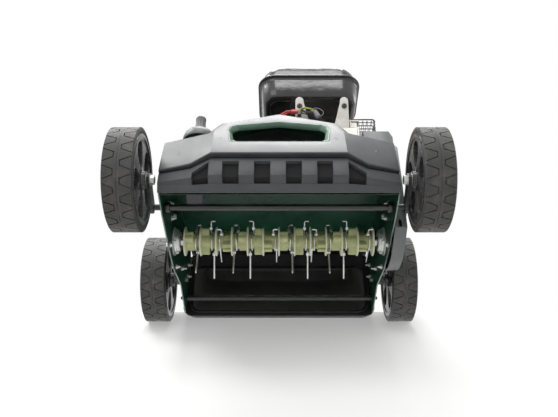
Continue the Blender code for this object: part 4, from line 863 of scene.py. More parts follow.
# Depth knob. One moulding in grey nylon on a steel screw: a hollow bell with a grip for finger and
# thumb. The screw's end pushes the front axle's lever plate down, which lifts the rotor.
def fluted(shape, centre, radius, count, depth, low=-1.0, high=1.0):
    """Presses shallow grip grooves into a turned form about Z, outside a radius and between heights."""
    for vert in shape.verts:
        x, y = vert.co.x - centre[0], vert.co.y - centre[1]
        out = math.hypot(x, y)
        if out > radius and low < vert.co.z < high:
            wave = 0.5 - 0.5 * math.cos(count * math.atan2(y, x))
            share = 1 - depth * wave / out
            vert.co.x, vert.co.y = centre[0] + x * share, centre[1] + y * share
    return shape


KNOB = (-0.163, back(0.03))
knob_profile = [(0, 0.106), (0.0044, 0.1065)]
for i in range(52):
    knob_profile += [(0.005, 0.108 + i * 0.0022), (0.0044, 0.1091 + i * 0.0022)]
knob_profile += mm(5,223.5, 12.5,224, 13,225, 13,229, 29,229, 31.2,220, 31.8,214.6, 32.4,214, 33.6,214.3,
    34,215.8, 33.7,221, 32.8,227, 30.8,232.8, 27.2,237.8, 22,241.6, 17,243.8, 13.4,246.4, 11.8,250.4,
    11,256, 10.6,262, 10.4,270, 10.8,277.5, 10.7,280, 10,281.4, 8,281.8, 7,281.2, 0,281)
knob_shape = fluted(lathe(knob_profile, (*KNOB, 0), (0, 0, 1), 96), KNOB, 0.009, 12, 0.0007, 0.247, 0.279)
# Raised marks on the disc that count the turns
for i in range(7):
    mark = block((-0.0007, -0.003, -0.0004), (0.0007, 0.0038 if i == 3 else 0.0022, 0.0005))
    spot = (Matrix.Translation((*KNOB, 0)) @ Matrix.Rotation(math.radians(18 * i - 54), 4, "Z")
        @ Matrix.Translation((0, 0.0291, 0.2354)) @ Matrix.Rotation(math.radians(-54), 4, "X"))
    joined(mark, knob_shape, spot)
# Moulded nylon with a fine matt grain, a little dusty on top
grey_nylon = finish("moulded_grey_nylon", "grey_plastic", "#4b4c4e", "#5b5c5e", 1.2, 0.05, (0.38, 0.52),
    40, "#a09c92", 0.15)
piece("depth_knob_moulding", knob_shape, grey_nylon, "depth_knob", "knob", smooth=45)

# Fuel tank. Two blow-moulded halves in black polyethylene, pinched together at a welded flange all
# round. The skin is glossy, and slow waves from the mould make its reflections wander.
TANK = (0.074, back(0.223))
TANK_SIZE = (0.25, 0.18)


def rounded_box(low, high, radius, steps):
    """The outline of a rectangle between two corners, with round corners in a number of steps."""
    outline = []
    for start, x, y in ((0, high[0] - radius, high[1] - radius), (90, low[0] + radius, high[1] - radius),
            (180, low[0] + radius, low[1] + radius), (270, high[0] - radius, low[1] + radius)):
        for i in range(steps + 1):
            turn = math.radians(start + 90 * i / steps)
            outline.append((x + radius * math.cos(turn), y + radius * math.sin(turn)))
    return outline


def tank_shell(sections):
    """A shell through rounded rectangles: height, inset from the flange, corner radius, and how much
    further the two ends slope in."""
    shell = bmesh.new()
    rings = []
    for z, inset, radius, *ends in sections:
        half_w, half_d = TANK_SIZE[0] / 2 - inset - sum(ends), TANK_SIZE[1] / 2 - inset
        ring = rounded_box((-half_w, -half_d), (half_w, half_d), radius, 8)
        full = []
        for i, (x, y) in enumerate(ring):
            nx, ny = ring[(i + 1) % len(ring)]
            full.append((x, y))
            if math.hypot(nx - x, ny - y) > 0.03:
                full += [(x + (nx - x) * k / 8, y + (ny - y) * k / 8) for k in range(1, 8)]
        rings.append([shell.verts.new((TANK[0] + x, TANK[1] + y, z)) for x, y in full])
    skin(shell, rings)
    shell.faces.new(rings[0])
    shell.faces.new(rings[-1])
    # Blow moulding leaves the flat walls slightly wavy
    for vert in shell.verts:
        wave = noise.noise(Vector((vert.co.x * 14, vert.co.y * 14, vert.co.z * 18)))
        away = Vector((vert.co.x - TANK[0], vert.co.y - TANK[1], 0)).normalized()
        if 0.459 < vert.co.z < 0.512 or 0.518 < vert.co.z < 0.556:
            vert.co -= away * (0.0006 + 0.0006 * wave)
    return shell


# Blow-moulded polyethylene: wet-looking gloss over a skin that ripples about 25 mm across
tank_skin = finish("blow_moulded_polyethylene", "black_plastic", "#1a1a1b", "#242425", 18.0, 0.9,
    (0.16, 0.27), 60, "#8b877c", 0.06, Coat_Weight=0.4, Coat_Roughness=0.08)
piece("fuel_tank_lower_shell", tank_shell([(0.4585, 0.033, 0.02), (0.458, 0.03, 0.022),
    (0.4562, 0.027, 0.024), (0.4562, 0.0225, 0.027), (0.4568, 0.019, 0.03), (0.459, 0.015, 0.034),
    (0.463, 0.0118, 0.036), (0.476, 0.0094, 0.037), (0.495, 0.0076, 0.038), (0.506, 0.0068, 0.038),
    (0.5105, 0.0062, 0.038), (0.5126, 0.0046, 0.039), (0.5131, 0.001, 0.0415), (0.5136, 0.0002, 0.042),
    (0.5143, 0.0, 0.042), (0.5149, 0.0003, 0.042)]), tank_skin, "fuel_tank_lower", smooth=50)
upper = tank_shell([(0.5153, 0.0003, 0.042), (0.5158, 0.0, 0.042), (0.5168, 0.0002, 0.042),
    (0.5173, 0.001, 0.0415), (0.5178, 0.0048, 0.039), (0.5196, 0.0062, 0.038),
    (0.524, 0.0066, 0.037, 0.0006), (0.537, 0.0074, 0.033, 0.0046), (0.547, 0.0086, 0.03, 0.0119),
    (0.554, 0.0105, 0.029, 0.019), (0.56, 0.014, 0.029, 0.026), (0.565, 0.0185, 0.028, 0.0325),
    (0.569, 0.024, 0.026, 0.038), (0.5718, 0.0305, 0.023, 0.0405), (0.573, 0.039, 0.02, 0.0405)])
NECK = (0.044, TANK[1])
lathe(mm(0,566, 22.2,566.2, 21.5,570.2, 20,574.5, 19,578, 19,579.2, 0,579.2), (*NECK, 0), (0, 0, 1), 48,
    upper)
piece("fuel_tank_upper_shell", upper, tank_skin, "fuel_tank_upper", smooth=50)

# Fuel cap. Moulded black nylon with deep grip flutes and a vent pip in the middle
cap_shape = lathe(mm(0,579.7, 25.5,579.7, 26.8,580.6, 27,582.2, 27,590.5, 26.6,593, 25,595.2, 22.5,596.6,
    19,597, 18.2,596.2, 6,596, 5.2,597, 3.2,597.5, 0,597.5), (*NECK, 0), (0, 0, 1), 144)
fluted(cap_shape, NECK, 0.024, 18, 0.0022, 0.58, 0.5945)
cap_skin = finish("moulded_black_nylon", "black_plastic", "#1d1d1e", "#29292a", 1.2, 0.05, (0.34, 0.5),
    30, "#8b877c", 0.15)
piece("fuel_cap_moulding", cap_shape, cap_skin, "fuel_cap", "cap", smooth=40)


# Crankcase and tank arms. One die casting in aluminium alloy, left as cast, that stands on the deck
# with four bolts. Two flat arms with rounded ends are cast on and carry the tank.
case = bmesh.new()
flat_solid(mm(165,212, 305,212, 305,378, 285,398, 189,398, 165,374), 0.158, upright(0.03), case)
block((0.03, back(0.153), 0.2043), (0.188, back(0.317), 0.2143), case)
# Breather box on top, with its lid
block((0.1415, back(0.195), 0.39), (0.188, back(0.24), 0.4185), case)
block((0.1395, back(0.1925), 0.4195), (0.193, back(0.2425), 0.424), case)
block((0.14, back(0.18), 0.39), (0.147, back(0.196), 0.4185), case)
block((0.169, back(0.184), 0.39), (0.1725, back(0.196), 0.4185), case)
# Stiffening ribs down the front and the back
for x in (0.0335, 0.109, 0.1845):
    block((x - 0.0016, back(0.158), 0.2135), (x + 0.0016, back(0.166), 0.372), case)
    block((x - 0.0016, back(0.304), 0.2135), (x + 0.0016, back(0.312), 0.376), case)
block((0.034, back(0.161), 0.336), (0.046, back(0.166), 0.341), case)
block((0.074, back(0.161), 0.336), (0.184, back(0.166), 0.341), case)


def tank_arm(x, inner, shape):
    """One arm: a plate that leans forward, wider towards its foot on the inner side, and its pad."""
    foot, tip = Vector((0.174, 0.366)), Vector((0.145, 0.447))
    along = (tip - foot).normalized()
    top = (tip - foot).length - 0.004
    outline = [(-inner * 0.0106, 0), (inner * 0.03, 0), (inner * 0.019, top * 0.5),
        (inner * 0.0106, top * 0.93)]
    outline += [(inner * 0.0098 * math.cos(a), top + 0.0098 * math.sin(a)) for a in (math.pi * i / 12
        for i in range(13))]
    normal = Vector((along.y, -along.x))
    # Local X is the machine's X, local Y runs up the arm, local Z is the arm's thickness
    matrix = Matrix(((1, 0, 0, x), (0, along.x, normal.x, back(foot.x)), (0, along.y, normal.y, foot.y),
        (0, 0, 0, 1)))
    flat_solid(outline, 0.006, matrix, shape)
    block((x - 0.0075, back(0.15), 0.44), (x + 0.0075, back(0.179), 0.4556), shape)
    # Stiffening rib behind the arm
    flat_solid(mm(154,442, 179,448, 196,395, 174,380), 0.006, upright(x - 0.003), shape)
    # Boss round the screw
    place = matrix @ Vector((0, top * 0.84, 0.0001))
    way = Vector((0, -normal.x, -normal.y))
    lathe(mm(4.8,0.2, 4.8,1.2, 6.2,1.2, 6.8,0.6, 7,0), place, way, 28, shape)
    return place, way


screw_places = [tank_arm(0.049, 1, case), tank_arm(0.155, -1, case)]
# Round bearing covers on both sides, open in the middle for the crankshaft
CASE_BOLT_CIRCLE = 0.0345


def case_bolt(x, i):
    """A place on the bolt circle of a bearing cover."""
    turn = math.radians(60 * i + 15)
    return (x, back(0.235) + CASE_BOLT_CIRCLE * math.cos(turn), 0.32 + CASE_BOLT_CIRCLE * math.sin(turn))


for side, x in ((-1, 0.03), (1, 0.188)):
    lathe(mm(13.6,0, 13.6,4.5, 20,5, 26,4, 37,3.4, 41,2.6, 41,0), (x, back(0.235), 0.32), (side, 0, 0),
        48, case)
    for i in range(6):
        lathe(mm(0,0, 5.5,0, 5.5,5.2, 0,5.2), case_bolt(x, i), (side, 0, 0), 20, case)
# Oil filler's neck, which leans forward out of the front wall
FILLER = Vector((0.055, back(0.165), 0.254))
FILLER_LEAN = math.radians(40)
FILLER_WAY = Vector((0, -math.cos(FILLER_LEAN), math.sin(FILLER_LEAN)))
lathe(mm(16,-6, 13,4, 11.5,10, 11.2,13.8, 6.5,13.8, 6.5,-6), FILLER, FILLER_WAY, 36, case)
# Die-cast aluminium: pale, matt and slightly mottled, with oily dust in its grain
die_cast = finish("die_cast_aluminium", "cast_aluminium", "#b4b1aa", "#d3d1cb", 1.6, 0.18, (0.42, 0.62),
    22, "#7d776b", 0.3, Metallic=0.75)
casting = piece("crankcase_casting", case, die_cast, "crankcase", smooth=30)
ease(casting, 0.0014, 3, 50)
dress("cylinder_block", die_cast, 0.0006)

# Bolts of the engine: base flange, breather lid, bearing covers, and two socket screws in the arms
engine_bolts = bmesh.new()
for x in (0.041, 0.177):
    for s in (0.1585, 0.3115):
        fastener((x, back(s), 0.2146), (0, 0, 1), 0.008, 0.005, turn=x * 90 + s, shape=engine_bolts)
for x, s in ((0.145, 0.198), (0.1875, 0.198), (0.145, 0.237), (0.1875, 0.237)):
    lathe(mm(0,0, 3,0, 3,1.6, 2.2,2.4, 0,2.4), (x, back(s), 0.4241), (0, 0, 1), 18, engine_bolts)
for side, x in ((-1, 0.0247), (1, 0.1933)):
    for i in range(6):
        fastener(case_bolt(x, i), (side, 0, 0), 0.0055, 0.003, turn=i * 0.4, shape=engine_bolts)
piece("engine_bolts", engine_bolts, zinc_plate, bevel=0.0002, segments=1)
arm_screws = bmesh.new()
for place, way in screw_places:
    lathe(mm(0,1, 6.4,1, 6.6,1.6, 6,2.4, 4,2.8, 4,5.2, 3.4,5.8, 2.2,5.8, 1.9,3, 0,2.8), place, way, 24,
        arm_screws)
piece("tank_arm_screws", arm_screws, grey_plate, bevel=0.0002, segments=1)

# Dipstick. Moulded grey nylon cap with wing grips, on a rod that reaches down to the oil
stick = lathe(mm(0,-20, 4,-20, 4,14.2, 12.5,14.5, 13,15.5, 13,19.5, 12.2,21, 6,21.6, 5.6,22.2, 0,22.2),
    (0, 0, 0), (0, 0, 1), 72)
fluted(stick, (0, 0), 0.0115, 14, 0.0009, 0.015, 0.0205)
block((-0.0016, -0.0105, 0.0205), (0.0016, 0.0105, 0.0298), stick)
joined(stick, matrix=aim(FILLER_WAY))
piece("dipstick_moulding", stick, grey_nylon, "dipstick", "dip", bevel=0.0004, place=FILLER)

# Valve cover. Pressed steel in black enamel, flanged, held by four small bolts; and the spark plug's
# rubber cap. Both shapes come from the CAD model.
cover_enamel = finish("black_enamel_pressed_steel", "black_plastic", "#161617", "#202021", 2.0, 0.03,
    (0.22, 0.34), 50, "#8b877c", 0.1)
dress("valve_cover", cover_enamel, 0.0008)
moulded_rubber = finish("moulded_rubber_boot", "black_plastic", "#151515", "#1f1f1f", 1.0, 0.06,
    (0.55, 0.75), 30, "#6f6a60", 0.2)
dress("spark_plug_cap", moulded_rubber, 0.0008)
CYL_LEAN = math.radians(25)
CYL_WAY = Vector((0, math.cos(CYL_LEAN), math.sin(CYL_LEAN)))
CYL_ACROSS = Vector((0, -math.sin(CYL_LEAN), math.cos(CYL_LEAN)))
CYL_FOOT = Vector((0, back(0.3053), 0.336))
head_bolts = bmesh.new()
for x in (0.064, 0.144):
    for across in (-0.03, 0.03):
        spot = CYL_FOOT + CYL_WAY * 0.1381 + CYL_ACROSS * across + Vector((x, 0, 0))
        fastener(spot, CYL_WAY, 0.007, 0.0038, turn=x * 60, shape=head_bolts)
piece("valve_cover_bolts", head_bolts, zinc_plate, bevel=0.0002, segments=1)
dress("crankshaft", turned_steel, 0.0005)


# Recoil starter. A pressed housing in black enamel over the flywheel, ribbed between its air slots,
# screwed on by three ears. The rope comes out through a guide to a moulded grip.
STARTER = (0, back(0.235), 0.32)
starter = lathe(mm(0,-61.2, 17,-61.2, 18.5,-60, 20,-59.2, 21.5,-60, 23,-61.2, 52,-61.5, 54.8,-60.6,
    56.2,-58, 58.2,-50, 59.8,-46.2, 62.5,-44.8, 84,-42.4, 88,-40.8, 93,-36.2, 95.5,-32, 96,-29, 95.8,18,
    94.8,24, 95,29.6, 91.5,29.6, 92.5,-29, 86,-37.5, 60,-40.5, 54.5,-46, 52.5,-56, 0,-57), STARTER,
    (1, 0, 0), 72)
# Ribs between the air slots, and those on the cap over the rope's reel
for count, low, high in ((30, (-0.0466, -0.001, 0.063), (-0.0405, 0.001, 0.085)),
        (12, (-0.062, -0.0016, 0.027), (-0.06, 0.0016, 0.049))):
    for i in range(count):
        turned = Matrix.Translation(STARTER) @ Matrix.Rotation(math.tau * i / count, 4, "X")
        joined(block(low, high), starter, turned)
guide_way = Vector((0, 0.05, 0.075)).normalized()
guide_foot = Vector(STARTER) + Vector((-0.054, 0, 0)) + guide_way * 0.05
lathe(mm(9.5,0, 8,6, 7,27, 6.6,30, 3,30, 3,24, 0,24), guide_foot, guide_way, 28, starter)
ears = [Vector((0, math.cos(turn), math.sin(turn))) for turn in map(math.radians, (40, 160, 280))]
for out in ears:
    lathe(mm(0,20, 8,20, 8,28.5, 0,28.5), Vector(STARTER) + out * 0.092, (1, 0, 0), 24, starter)
piece("recoil_housing_pressing", starter, cover_enamel, "recoil_housing", bevel=0.0004, smooth=40)
starter_screws = bmesh.new()
for i, out in enumerate(ears):
    fastener(Vector(STARTER) + out * 0.0935 + Vector((0.0198, 0, 0)), (-1, 0, 0), 0.0065, 0.0036, turn=i,
        shape=starter_screws)
piece("recoil_housing_screws", starter_screws, zinc_plate, bevel=0.0002, segments=1)
grip_place = Vector((-0.054, back(0.285), 0.395))
grip = lathe(mm(0,-28, 5.2,-27.9, 7.6,-26.6, 8.2,-23.6, 7.8,-15, 7.1,-6, 7,0, 7.1,6, 7.8,15, 8.2,23.6,
    7.6,26.6, 5.2,27.9, 0,28), (0, 0, 0), (0, 1, 0), 36)
for turn in (-0.017, -0.011, 0.011, 0.017):
    lathe(mm(7.4,-1, 8.3,0, 7.4,1), (0, turn, 0), (0, 1, 0), 28, grip, True)
piece("recoil_grip_moulding", grip, moulded_rubber, "recoil_grip", "pull_grip", bevel=0.0002,
    place=grip_place)
# Starter rope. Braided nylon, wound on the starter's reel until the grip is pulled; the 15 mm of it
# between the reel and the grip's knot stretches out along the pull.
PULL_WAY = Vector((-0.6, 0.3, 0.742)).normalized()
ROPE_R, ROPE_STEPS = 0.0017, 30
rope_start, rope_end = grip_place - PULL_WAY * 0.018, grip_place - PULL_WAY * 0.003
rope_long = (rope_end - rope_start).length
rope_shape = lathe([(0, 0)] + [(ROPE_R, rope_long * i / ROPE_STEPS) for i in range(ROPE_STEPS + 1)]
    + [(0, rope_long)], rope_start, PULL_WAY, 14)
rope_mesh = mesh_of(rope_shape, "starter_rope")
rope_mesh.shade_smooth()
rope_mesh.materials.append(finish("braided_nylon_rope", "bag_fabric", "#8f8c82", "#cfccc1", 1.4, 0.2,
    (0.6, 0.8), 12, "#4a4740", 0.35))
rope = shown("starter_rope", rope_mesh)
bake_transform(rope)


# Air filter box. Moulded black polypropylene in two parts that meet at a groove, with cooling louvres
# on the front and a knob on top that holds the lid.
def soft_box(low, high, radius, sections, shape=None):
    """A box with rounded upright corners, through sections of (share of height, inset)."""
    shape = shape or bmesh.new()
    rings = []
    for share, inset in sections:
        ring = rounded_box((low[0] + inset, low[1] + inset), (high[0] - inset, high[1] - inset),
            max(radius - inset, 0.0005), 6)
        z = low[2] + (high[2] - low[2]) * share
        rings.append([shape.verts.new((x, y, z)) for x, y in ring])
    skin(shape, rings)
    shape.faces.new(rings[0])
    shape.faces.new(rings[-1])
    return shape


filter_low, filter_high = (-0.085, back(0.335), 0.42), (0.02, back(0.44), 0.52)
airbox = soft_box(filter_low, filter_high, 0.014, [(0, 0.01), (0.02, 0.0055), (0.06, 0.0018), (0.12, 0.0),
    (0.46, 0.0), (0.468, 0.0008), (0.469, 0.0022), (0.489, 0.0022), (0.49, 0.0008), (0.498, 0.0),
    (0.86, 0.0), (0.93, 0.002), (0.97, 0.006), (0.99, 0.012), (1.0, 0.02)])
for i in range(6):
    z = 0.48 + i * 0.005
    block((-0.062, back(0.3339), z), (-0.004, back(0.3355), z + 0.002), airbox)
    block((-0.062, back(0.4396), z), (-0.004, back(0.4409), z + 0.002), airbox)
lathe(mm(0,519.5, 12.5,519.8, 13.5,521, 13.5,526, 12,528, 0,528.2), (-0.0325, back(0.3875), 0), (0, 0, 1),
    72, airbox)
fluted(airbox, (-0.0325, back(0.3875)), 0.0122, 12, 0.0011, 0.5205, 0.527)
for s in (0.352, 0.423):
    block((-0.0866, back(s - 0.006), 0.455), (-0.0845, back(s + 0.006), 0.481), airbox)
piece("air_filter_box_moulding", airbox, cap_skin, "air_filter_box", bevel=0.0003)

# Carburettor. A small die casting with a round float bowl below, flanges at both ends and a top plate
carb = block((0.024, back(0.3545), 0.413), (0.046, back(0.3905), 0.44))
for x, thick in ((0.0204, 0.0034), (0.0462, 0.0034)):
    flat_solid(mm(351.2,426, 356,439, 372.5,444.5, 389,439, 393.8,426, 389,413, 372.5,407.5, 356,413),
        thick, upright(x), carb)
lathe(mm(0,392.2, 4,392.2, 4.4,396, 10,396.5, 12.5,398.5, 13,401, 13,411, 13.8,411.2, 13.8,414, 0,414),
    (0.035, back(0.3725), 0), (0, 0, 1), 36, carb)
lathe(mm(0,439.5, 10,439.5, 10,444, 8.5,445.5, 0,445.6), (0.035, back(0.3725), 0), (0, 0, 1), 32, carb)
for x, z in ((0.0275, 0.4105), (0.04, 0.4065)):
    lathe(mm(0,-1.2, 3.4,-1.2, 3.4,9, 0,9), (x, back(0.3505), z + 0.0002), (0, 1, 0), 20, carb)
for x, s in ((0.0285, 0.358), (0.0415, 0.387)):
    fastener((x, back(s), 0.4398), (0, 0, 1), 0.005, 0.0028, turn=x * 200, shape=carb)
piece("carburettor_casting", carb, die_cast, "carburettor", bevel=0.0004)
dress("throttle_lever", zinc_plate, 0.0005)
dress("choke_lever", zinc_plate, 0.0005)

# Engine switch. A rotary stop switch in grey nylon: ribbed rim and a raised pointer bar
switch = lathe(mm(0,0, 11.6,0, 12,0.6, 12,6, 11.2,8, 9.8,9.6, 8,10, 0,10.1), (0, 0, 0), (0, 0, 1), 96)
fluted(switch, (0, 0), 0.011, 16, 0.0006, 0.001, 0.007)
soft_box((-0.0028, -0.009, 0.006), (0.0028, 0.009, 0.0158), 0.0024, [(0, 0), (0.85, 0.0002),
    (0.95, 0.0007), (1.0, 0.0016)], switch)
joined(switch, matrix=Matrix.Rotation(math.radians(90), 4, "X"))
piece("engine_switch_moulding", switch, grey_nylon, "engine_switch", "switch", bevel=0.0002,
    place=(0.06, back(0.165) - 0.0003, 0.338))


# Muffler. Two pressed steel cups with rolled seams round a plain shell, on a stub from the cylinder.
# The sheet is heat-tinted towards brown, and its outlet is a short tube under a spark screen.
MUFFLER = (0, back(0.385), 0.485)
can = bmesh.new()
for side, end in ((1, 0.105), (-1, 0.229)):
    cup = mm(0,3.5, 12,3.5, 15,1.5, 33,1, 36,0.6, 40,0.2, 41.8,1.2, 42,3, 41.6,4.6, 40,5.4, 39.8,30,
        38.4,32, 38.4,36, 39.8,38, 39.8,62)
    lathe([(r, end + side * along) for r, along in cup], MUFFLER, (1, 0, 0), 56, can)
stub_foot = CYL_FOOT + CYL_WAY * 0.097 + CYL_ACROSS * 0.0466 + Vector((0.125, 0, 0))
lathe(mm(16,0, 16,4, 11.2,4.2, 11,20, 11,42), stub_foot, CYL_ACROSS, 32, can)
lathe(mm(5,0, 7.5,0, 7.5,16, 6.8,17, 5.8,16, 5,16), (0.205, back(0.41), 0.516), (0, 0.62, 0.78), 28, can,
    True)
heated = finish("heat_tinted_steel_sheet", "bright_steel", "#5d554c", "#8a8178", 3.0, 0.06, (0.34, 0.52),
    28, "#6a4a35", 0.45, Metallic=0.85)
piece("muffler_can", can, heated, "muffler", bevel=0.0003, smooth=40)

# Muffler guard. A welded cage of 1.6 mm wire in 9 mm cells on a 4 mm frame, in heat-proof black. Pressed
# straps from both ends of the muffler hold it.
CAGE_LOW, CAGE_HIGH = Vector((0.0985, back(0.3295), 0.4305)), Vector((0.2615, back(0.4405), 0.5515))


def cage_loop(z, inset, corner=0.01):
    """A closed loop of wire round the cage at a height."""
    low, high = CAGE_LOW + Vector((inset, inset, 0)), CAGE_HIGH - Vector((inset, inset, 0))
    return [(x, y, z) for x, y in rounded_box(low, high, corner, 5)]


cage_heights = [CAGE_LOW.z + 0.004 + i * (CAGE_HIGH.z - CAGE_LOW.z - 0.006) / 10 for i in range(11)]
bar("muffler_guard_rings", [cage_loop(z, 0.0016) for z in cage_heights[1:-1]], 0.0008, black_enamel,
    "muffler_guard", sides=1, closed=True)
bar("muffler_guard_frame", [cage_loop(cage_heights[0], 0.002), cage_loop(cage_heights[-1], 0.002)],
    0.0019, black_enamel, sides=2, closed=True)
wires_over = []
for i in range(1, 14):
    x = CAGE_LOW.x + i * (CAGE_HIGH.x - CAGE_LOW.x) / 14
    wires_over.append(rounded_path([(x, CAGE_LOW.y + 0.003, CAGE_LOW.z + 0.003),
        (x, CAGE_LOW.y + 0.003, CAGE_HIGH.z - 0.0012), (x, CAGE_HIGH.y - 0.003, CAGE_HIGH.z - 0.0012),
        (x, CAGE_HIGH.y - 0.003, CAGE_LOW.z + 0.003)], 0.008, 4))
for i in range(1, 9):
    y = CAGE_LOW.y + i * (CAGE_HIGH.y - CAGE_LOW.y) / 9
    wires_over.append(rounded_path([(CAGE_LOW.x + 0.003, y, CAGE_LOW.z + 0.003),
        (CAGE_LOW.x + 0.003, y, CAGE_HIGH.z - 0.0028), (CAGE_HIGH.x - 0.003, y, CAGE_HIGH.z - 0.0028),
        (CAGE_HIGH.x - 0.003, y, CAGE_LOW.z + 0.003)], 0.008, 4))
bar("muffler_guard_uprights", wires_over, 0.0008, black_enamel, sides=1)
corner_posts = [[(x, y, CAGE_LOW.z + 0.002), (x, y, CAGE_HIGH.z - 0.003)] for x in (CAGE_LOW.x + 0.0052,
    CAGE_HIGH.x - 0.0052) for y in (CAGE_LOW.y + 0.0052, CAGE_HIGH.y - 0.0052)]
bar("muffler_guard_posts", corner_posts, 0.0019, black_enamel, sides=2)
straps = bmesh.new()
for x, side in ((0.1048, -1), (0.2292, 1)):
    reach = 0.0058 if side < 0 else 0.031
    lathe([(0, 0), (0.006, 0), (0.006, reach), (0, reach)], (x, MUFFLER[1], MUFFLER[2]), (side, 0, 0), 24,
        straps)
    fastener((x + side * (reach - 0.0004), MUFFLER[1], MUFFLER[2]), (side, 0, 0), 0.008, 0.0014
        if side < 0 else 0.0022, turn=0.4, shape=straps)
piece("muffler_guard_straps", straps, zinc_plate, bevel=0.0002, segments=1)


# Wire loom. Thin stranded wires in coloured PVC between the starter housing and the switch: three red
# ones in a sleeve, a yellow-green pair, black ones, a plug, and a grey capacitor with a loose lead.
def strands(points, offsets, turns=0.6):
    """Copies of a path, spread round it and slowly twisted."""
    path = rounded_path([(x, back(s), z) for x, s, z in points], 0.006, 5)
    made = []
    for radius, start in offsets:
        copy = []
        for i, point in enumerate(path):
            turn = math.radians(start) + turns * math.tau * i / len(path)
            ahead = (path[min(i + 1, len(path) - 1)] - path[max(i - 1, 0)]).normalized()
            side = ahead.cross(Vector((0, 1, 0))).normalized()
            copy.append(point + side * radius * math.cos(turn) + Vector((0, radius * math.sin(turn), 0)))
        made.append(copy)
    return made


red_pvc = finish("red_pvc_insulation", "wire_cover", "#b23434", "#cf4a45", 6.0, 0.02, (0.34, 0.46), 20,
    "#5a4640", 0.15)
yellow_pvc = finish("yellow_green_pvc_insulation", "wire_cover", "#9fa03c", "#c4c25c", 4.0, 0.02,
    (0.34, 0.46), 12)
black_pvc = finish("black_pvc_insulation", "wire_cover", "#1b1c1c", "#2c2d2d", 5.0, 0.02, (0.3, 0.45), 20,
    "#7a766c", 0.2)
grey_pvc = finish("grey_pvc_can", "wire_cover", "#77787a", "#8c8d8e", 5.0, 0.03, (0.35, 0.5), 20,
    "#5f5b52", 0.2)
bar("wire_loom_red", strands([(-0.004, 0.172, 0.385), (0.002, 0.151, 0.3975), (0.02, 0.147, 0.4075),
    (0.032, 0.1465, 0.4105), (0.042, 0.147, 0.4095)], ((0.003, 0), (0.003, 120), (0.003, 240))), 0.0018,
    red_pvc, "wire_loom", sides=3)
bar("wire_loom_sleeve", strands([(0.029, 0.1465, 0.4065), (0.036, 0.1465, 0.408), (0.0425, 0.147, 0.407)],
    ((0.0, 0),)), 0.0048, red_pvc, sides=5)
bar("wire_loom_black", strands([(0.04, 0.1475, 0.4085), (0.052, 0.1465, 0.409), (0.066, 0.147, 0.405),
    (0.078, 0.147, 0.404), (0.09, 0.152, 0.396), (0.112, 0.168, 0.388)], ((0.0036, 20), (0.0036, 95),
    (0.0036, 170), (0.0036, 245), (0.003, 310)), 0.9), 0.0015, black_pvc, sides=3)
bar("wire_loom_yellow", strands([(0.046, 0.1435, 0.4085), (0.05, 0.143, 0.414), (0.063, 0.1425, 0.417),
    (0.073, 0.143, 0.415), (0.08, 0.144, 0.41), (0.083, 0.148, 0.403)], ((0.0014, 0), (0.0014, 180)),
    1.2), 0.0013, yellow_pvc, sides=3)
bar("wire_loom_lead", strands([(0.078, 0.146, 0.412), (0.08, 0.1455, 0.417), (0.085, 0.1455, 0.42),
    (0.096, 0.146, 0.4175), (0.104, 0.147, 0.411), (0.1045, 0.148, 0.403), (0.095, 0.152, 0.396)],
    ((0.0, 0),)), 0.0008, grey_pvc, sides=2)
plug = soft_box((0.0435, back(0.142), 0.397), (0.0525, back(0.1525), 0.4095), 0.0015,
    [(0, 0.0004), (0.04, 0), (0.4, 0), (0.42, 0.0006), (0.5, 0.0006), (0.52, 0), (0.96, 0),
    (1.0, 0.0004)])
piece("wire_loom_plug", plug, black_pvc, bevel=0.0002)
capacitor = lathe(mm(0,0, 5,0, 6,0.8, 6.2,3, 5.6,3.6, 5.6,4.4, 6.2,5, 6.2,19, 5.5,20.2, 0,20.4),
    (0.083, back(0.1465), 0.4105), (0.0095, 0.001, -0.0175), 32)
piece("wire_loom_capacitor", capacitor, grey_pvc, bevel=0.0002)


# Belt drive. Two machined pulleys, a moulded V belt and an idler on a swinging steel arm. The belt is
# black rubber with a dull side and a fabric-covered back.
belt_rubber = finish("moulded_belt_rubber", "belt_rubber", "#191919", "#262625", 1.0, 0.1, (0.55, 0.78),
    24, "#74706a", 0.18)
dress("drive_belt", belt_rubber, 0.0008)
dress("rotor_pulley", turned_steel, 0.0004)
dress("engine_pulley", turned_steel, 0.0004)
dress("idler_pulley", turned_steel, 0.0004)
dress("idler_arm", zinc_plate, 0.0005)

# Belt cover. A moulded tray outside the right plate, wider over the engine's pulley, with an oval
# drain hole low in front. Grey-black polypropylene with stiffening ribs and sunk screws.
tray = shown("tray_maker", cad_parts["belt_cover"].data.copy())
tray.data.name = "belt_cover_moulding"
drain = bmesh.new()
flat_solid([(0.0034 * math.cos(math.tau * i / 24), 0.009 * math.sin(math.tau * i / 24))
    for i in range(24)], 0.02, Matrix(((1, 0, 0, 0.2398), (0, 0, 1, back(0.078)), (0, 1, 0, 0.058),
    (0, 0, 0, 1))), drain)
cut(tray, drain)
TRAY_OUT = 0.253
ribs = bmesh.new()
for start, end in (((0.105, 0.07), (0.23, 0.07)), ((0.1, 0.2), (0.262, 0.2)),
        ((0.1, 0.245), (0.265, 0.245))):
    block((TRAY_OUT - 0.001, back(start[0]), start[1] - 0.0015), (TRAY_OUT + 0.0016, back(end[0]),
        start[1] + 0.0015), ribs)
cut(tray, ribs, "UNION")
ease(tray, 0.0018, 3, 40)
tray_mesh = smoothed(settled(tray), 35)
tray_mesh.materials.clear()
tray_skin = finish("moulded_polypropylene_belt_cover", "black_plastic", "#636566", "#777979", 1.4, 0.06,
    (0.34, 0.48), 60, "#88857c", 0.18)
bpy.data.objects.remove(tray)
seat("belt_cover_moulding", tray_mesh, tray_skin, "belt_cover")
tray_screws = bmesh.new()
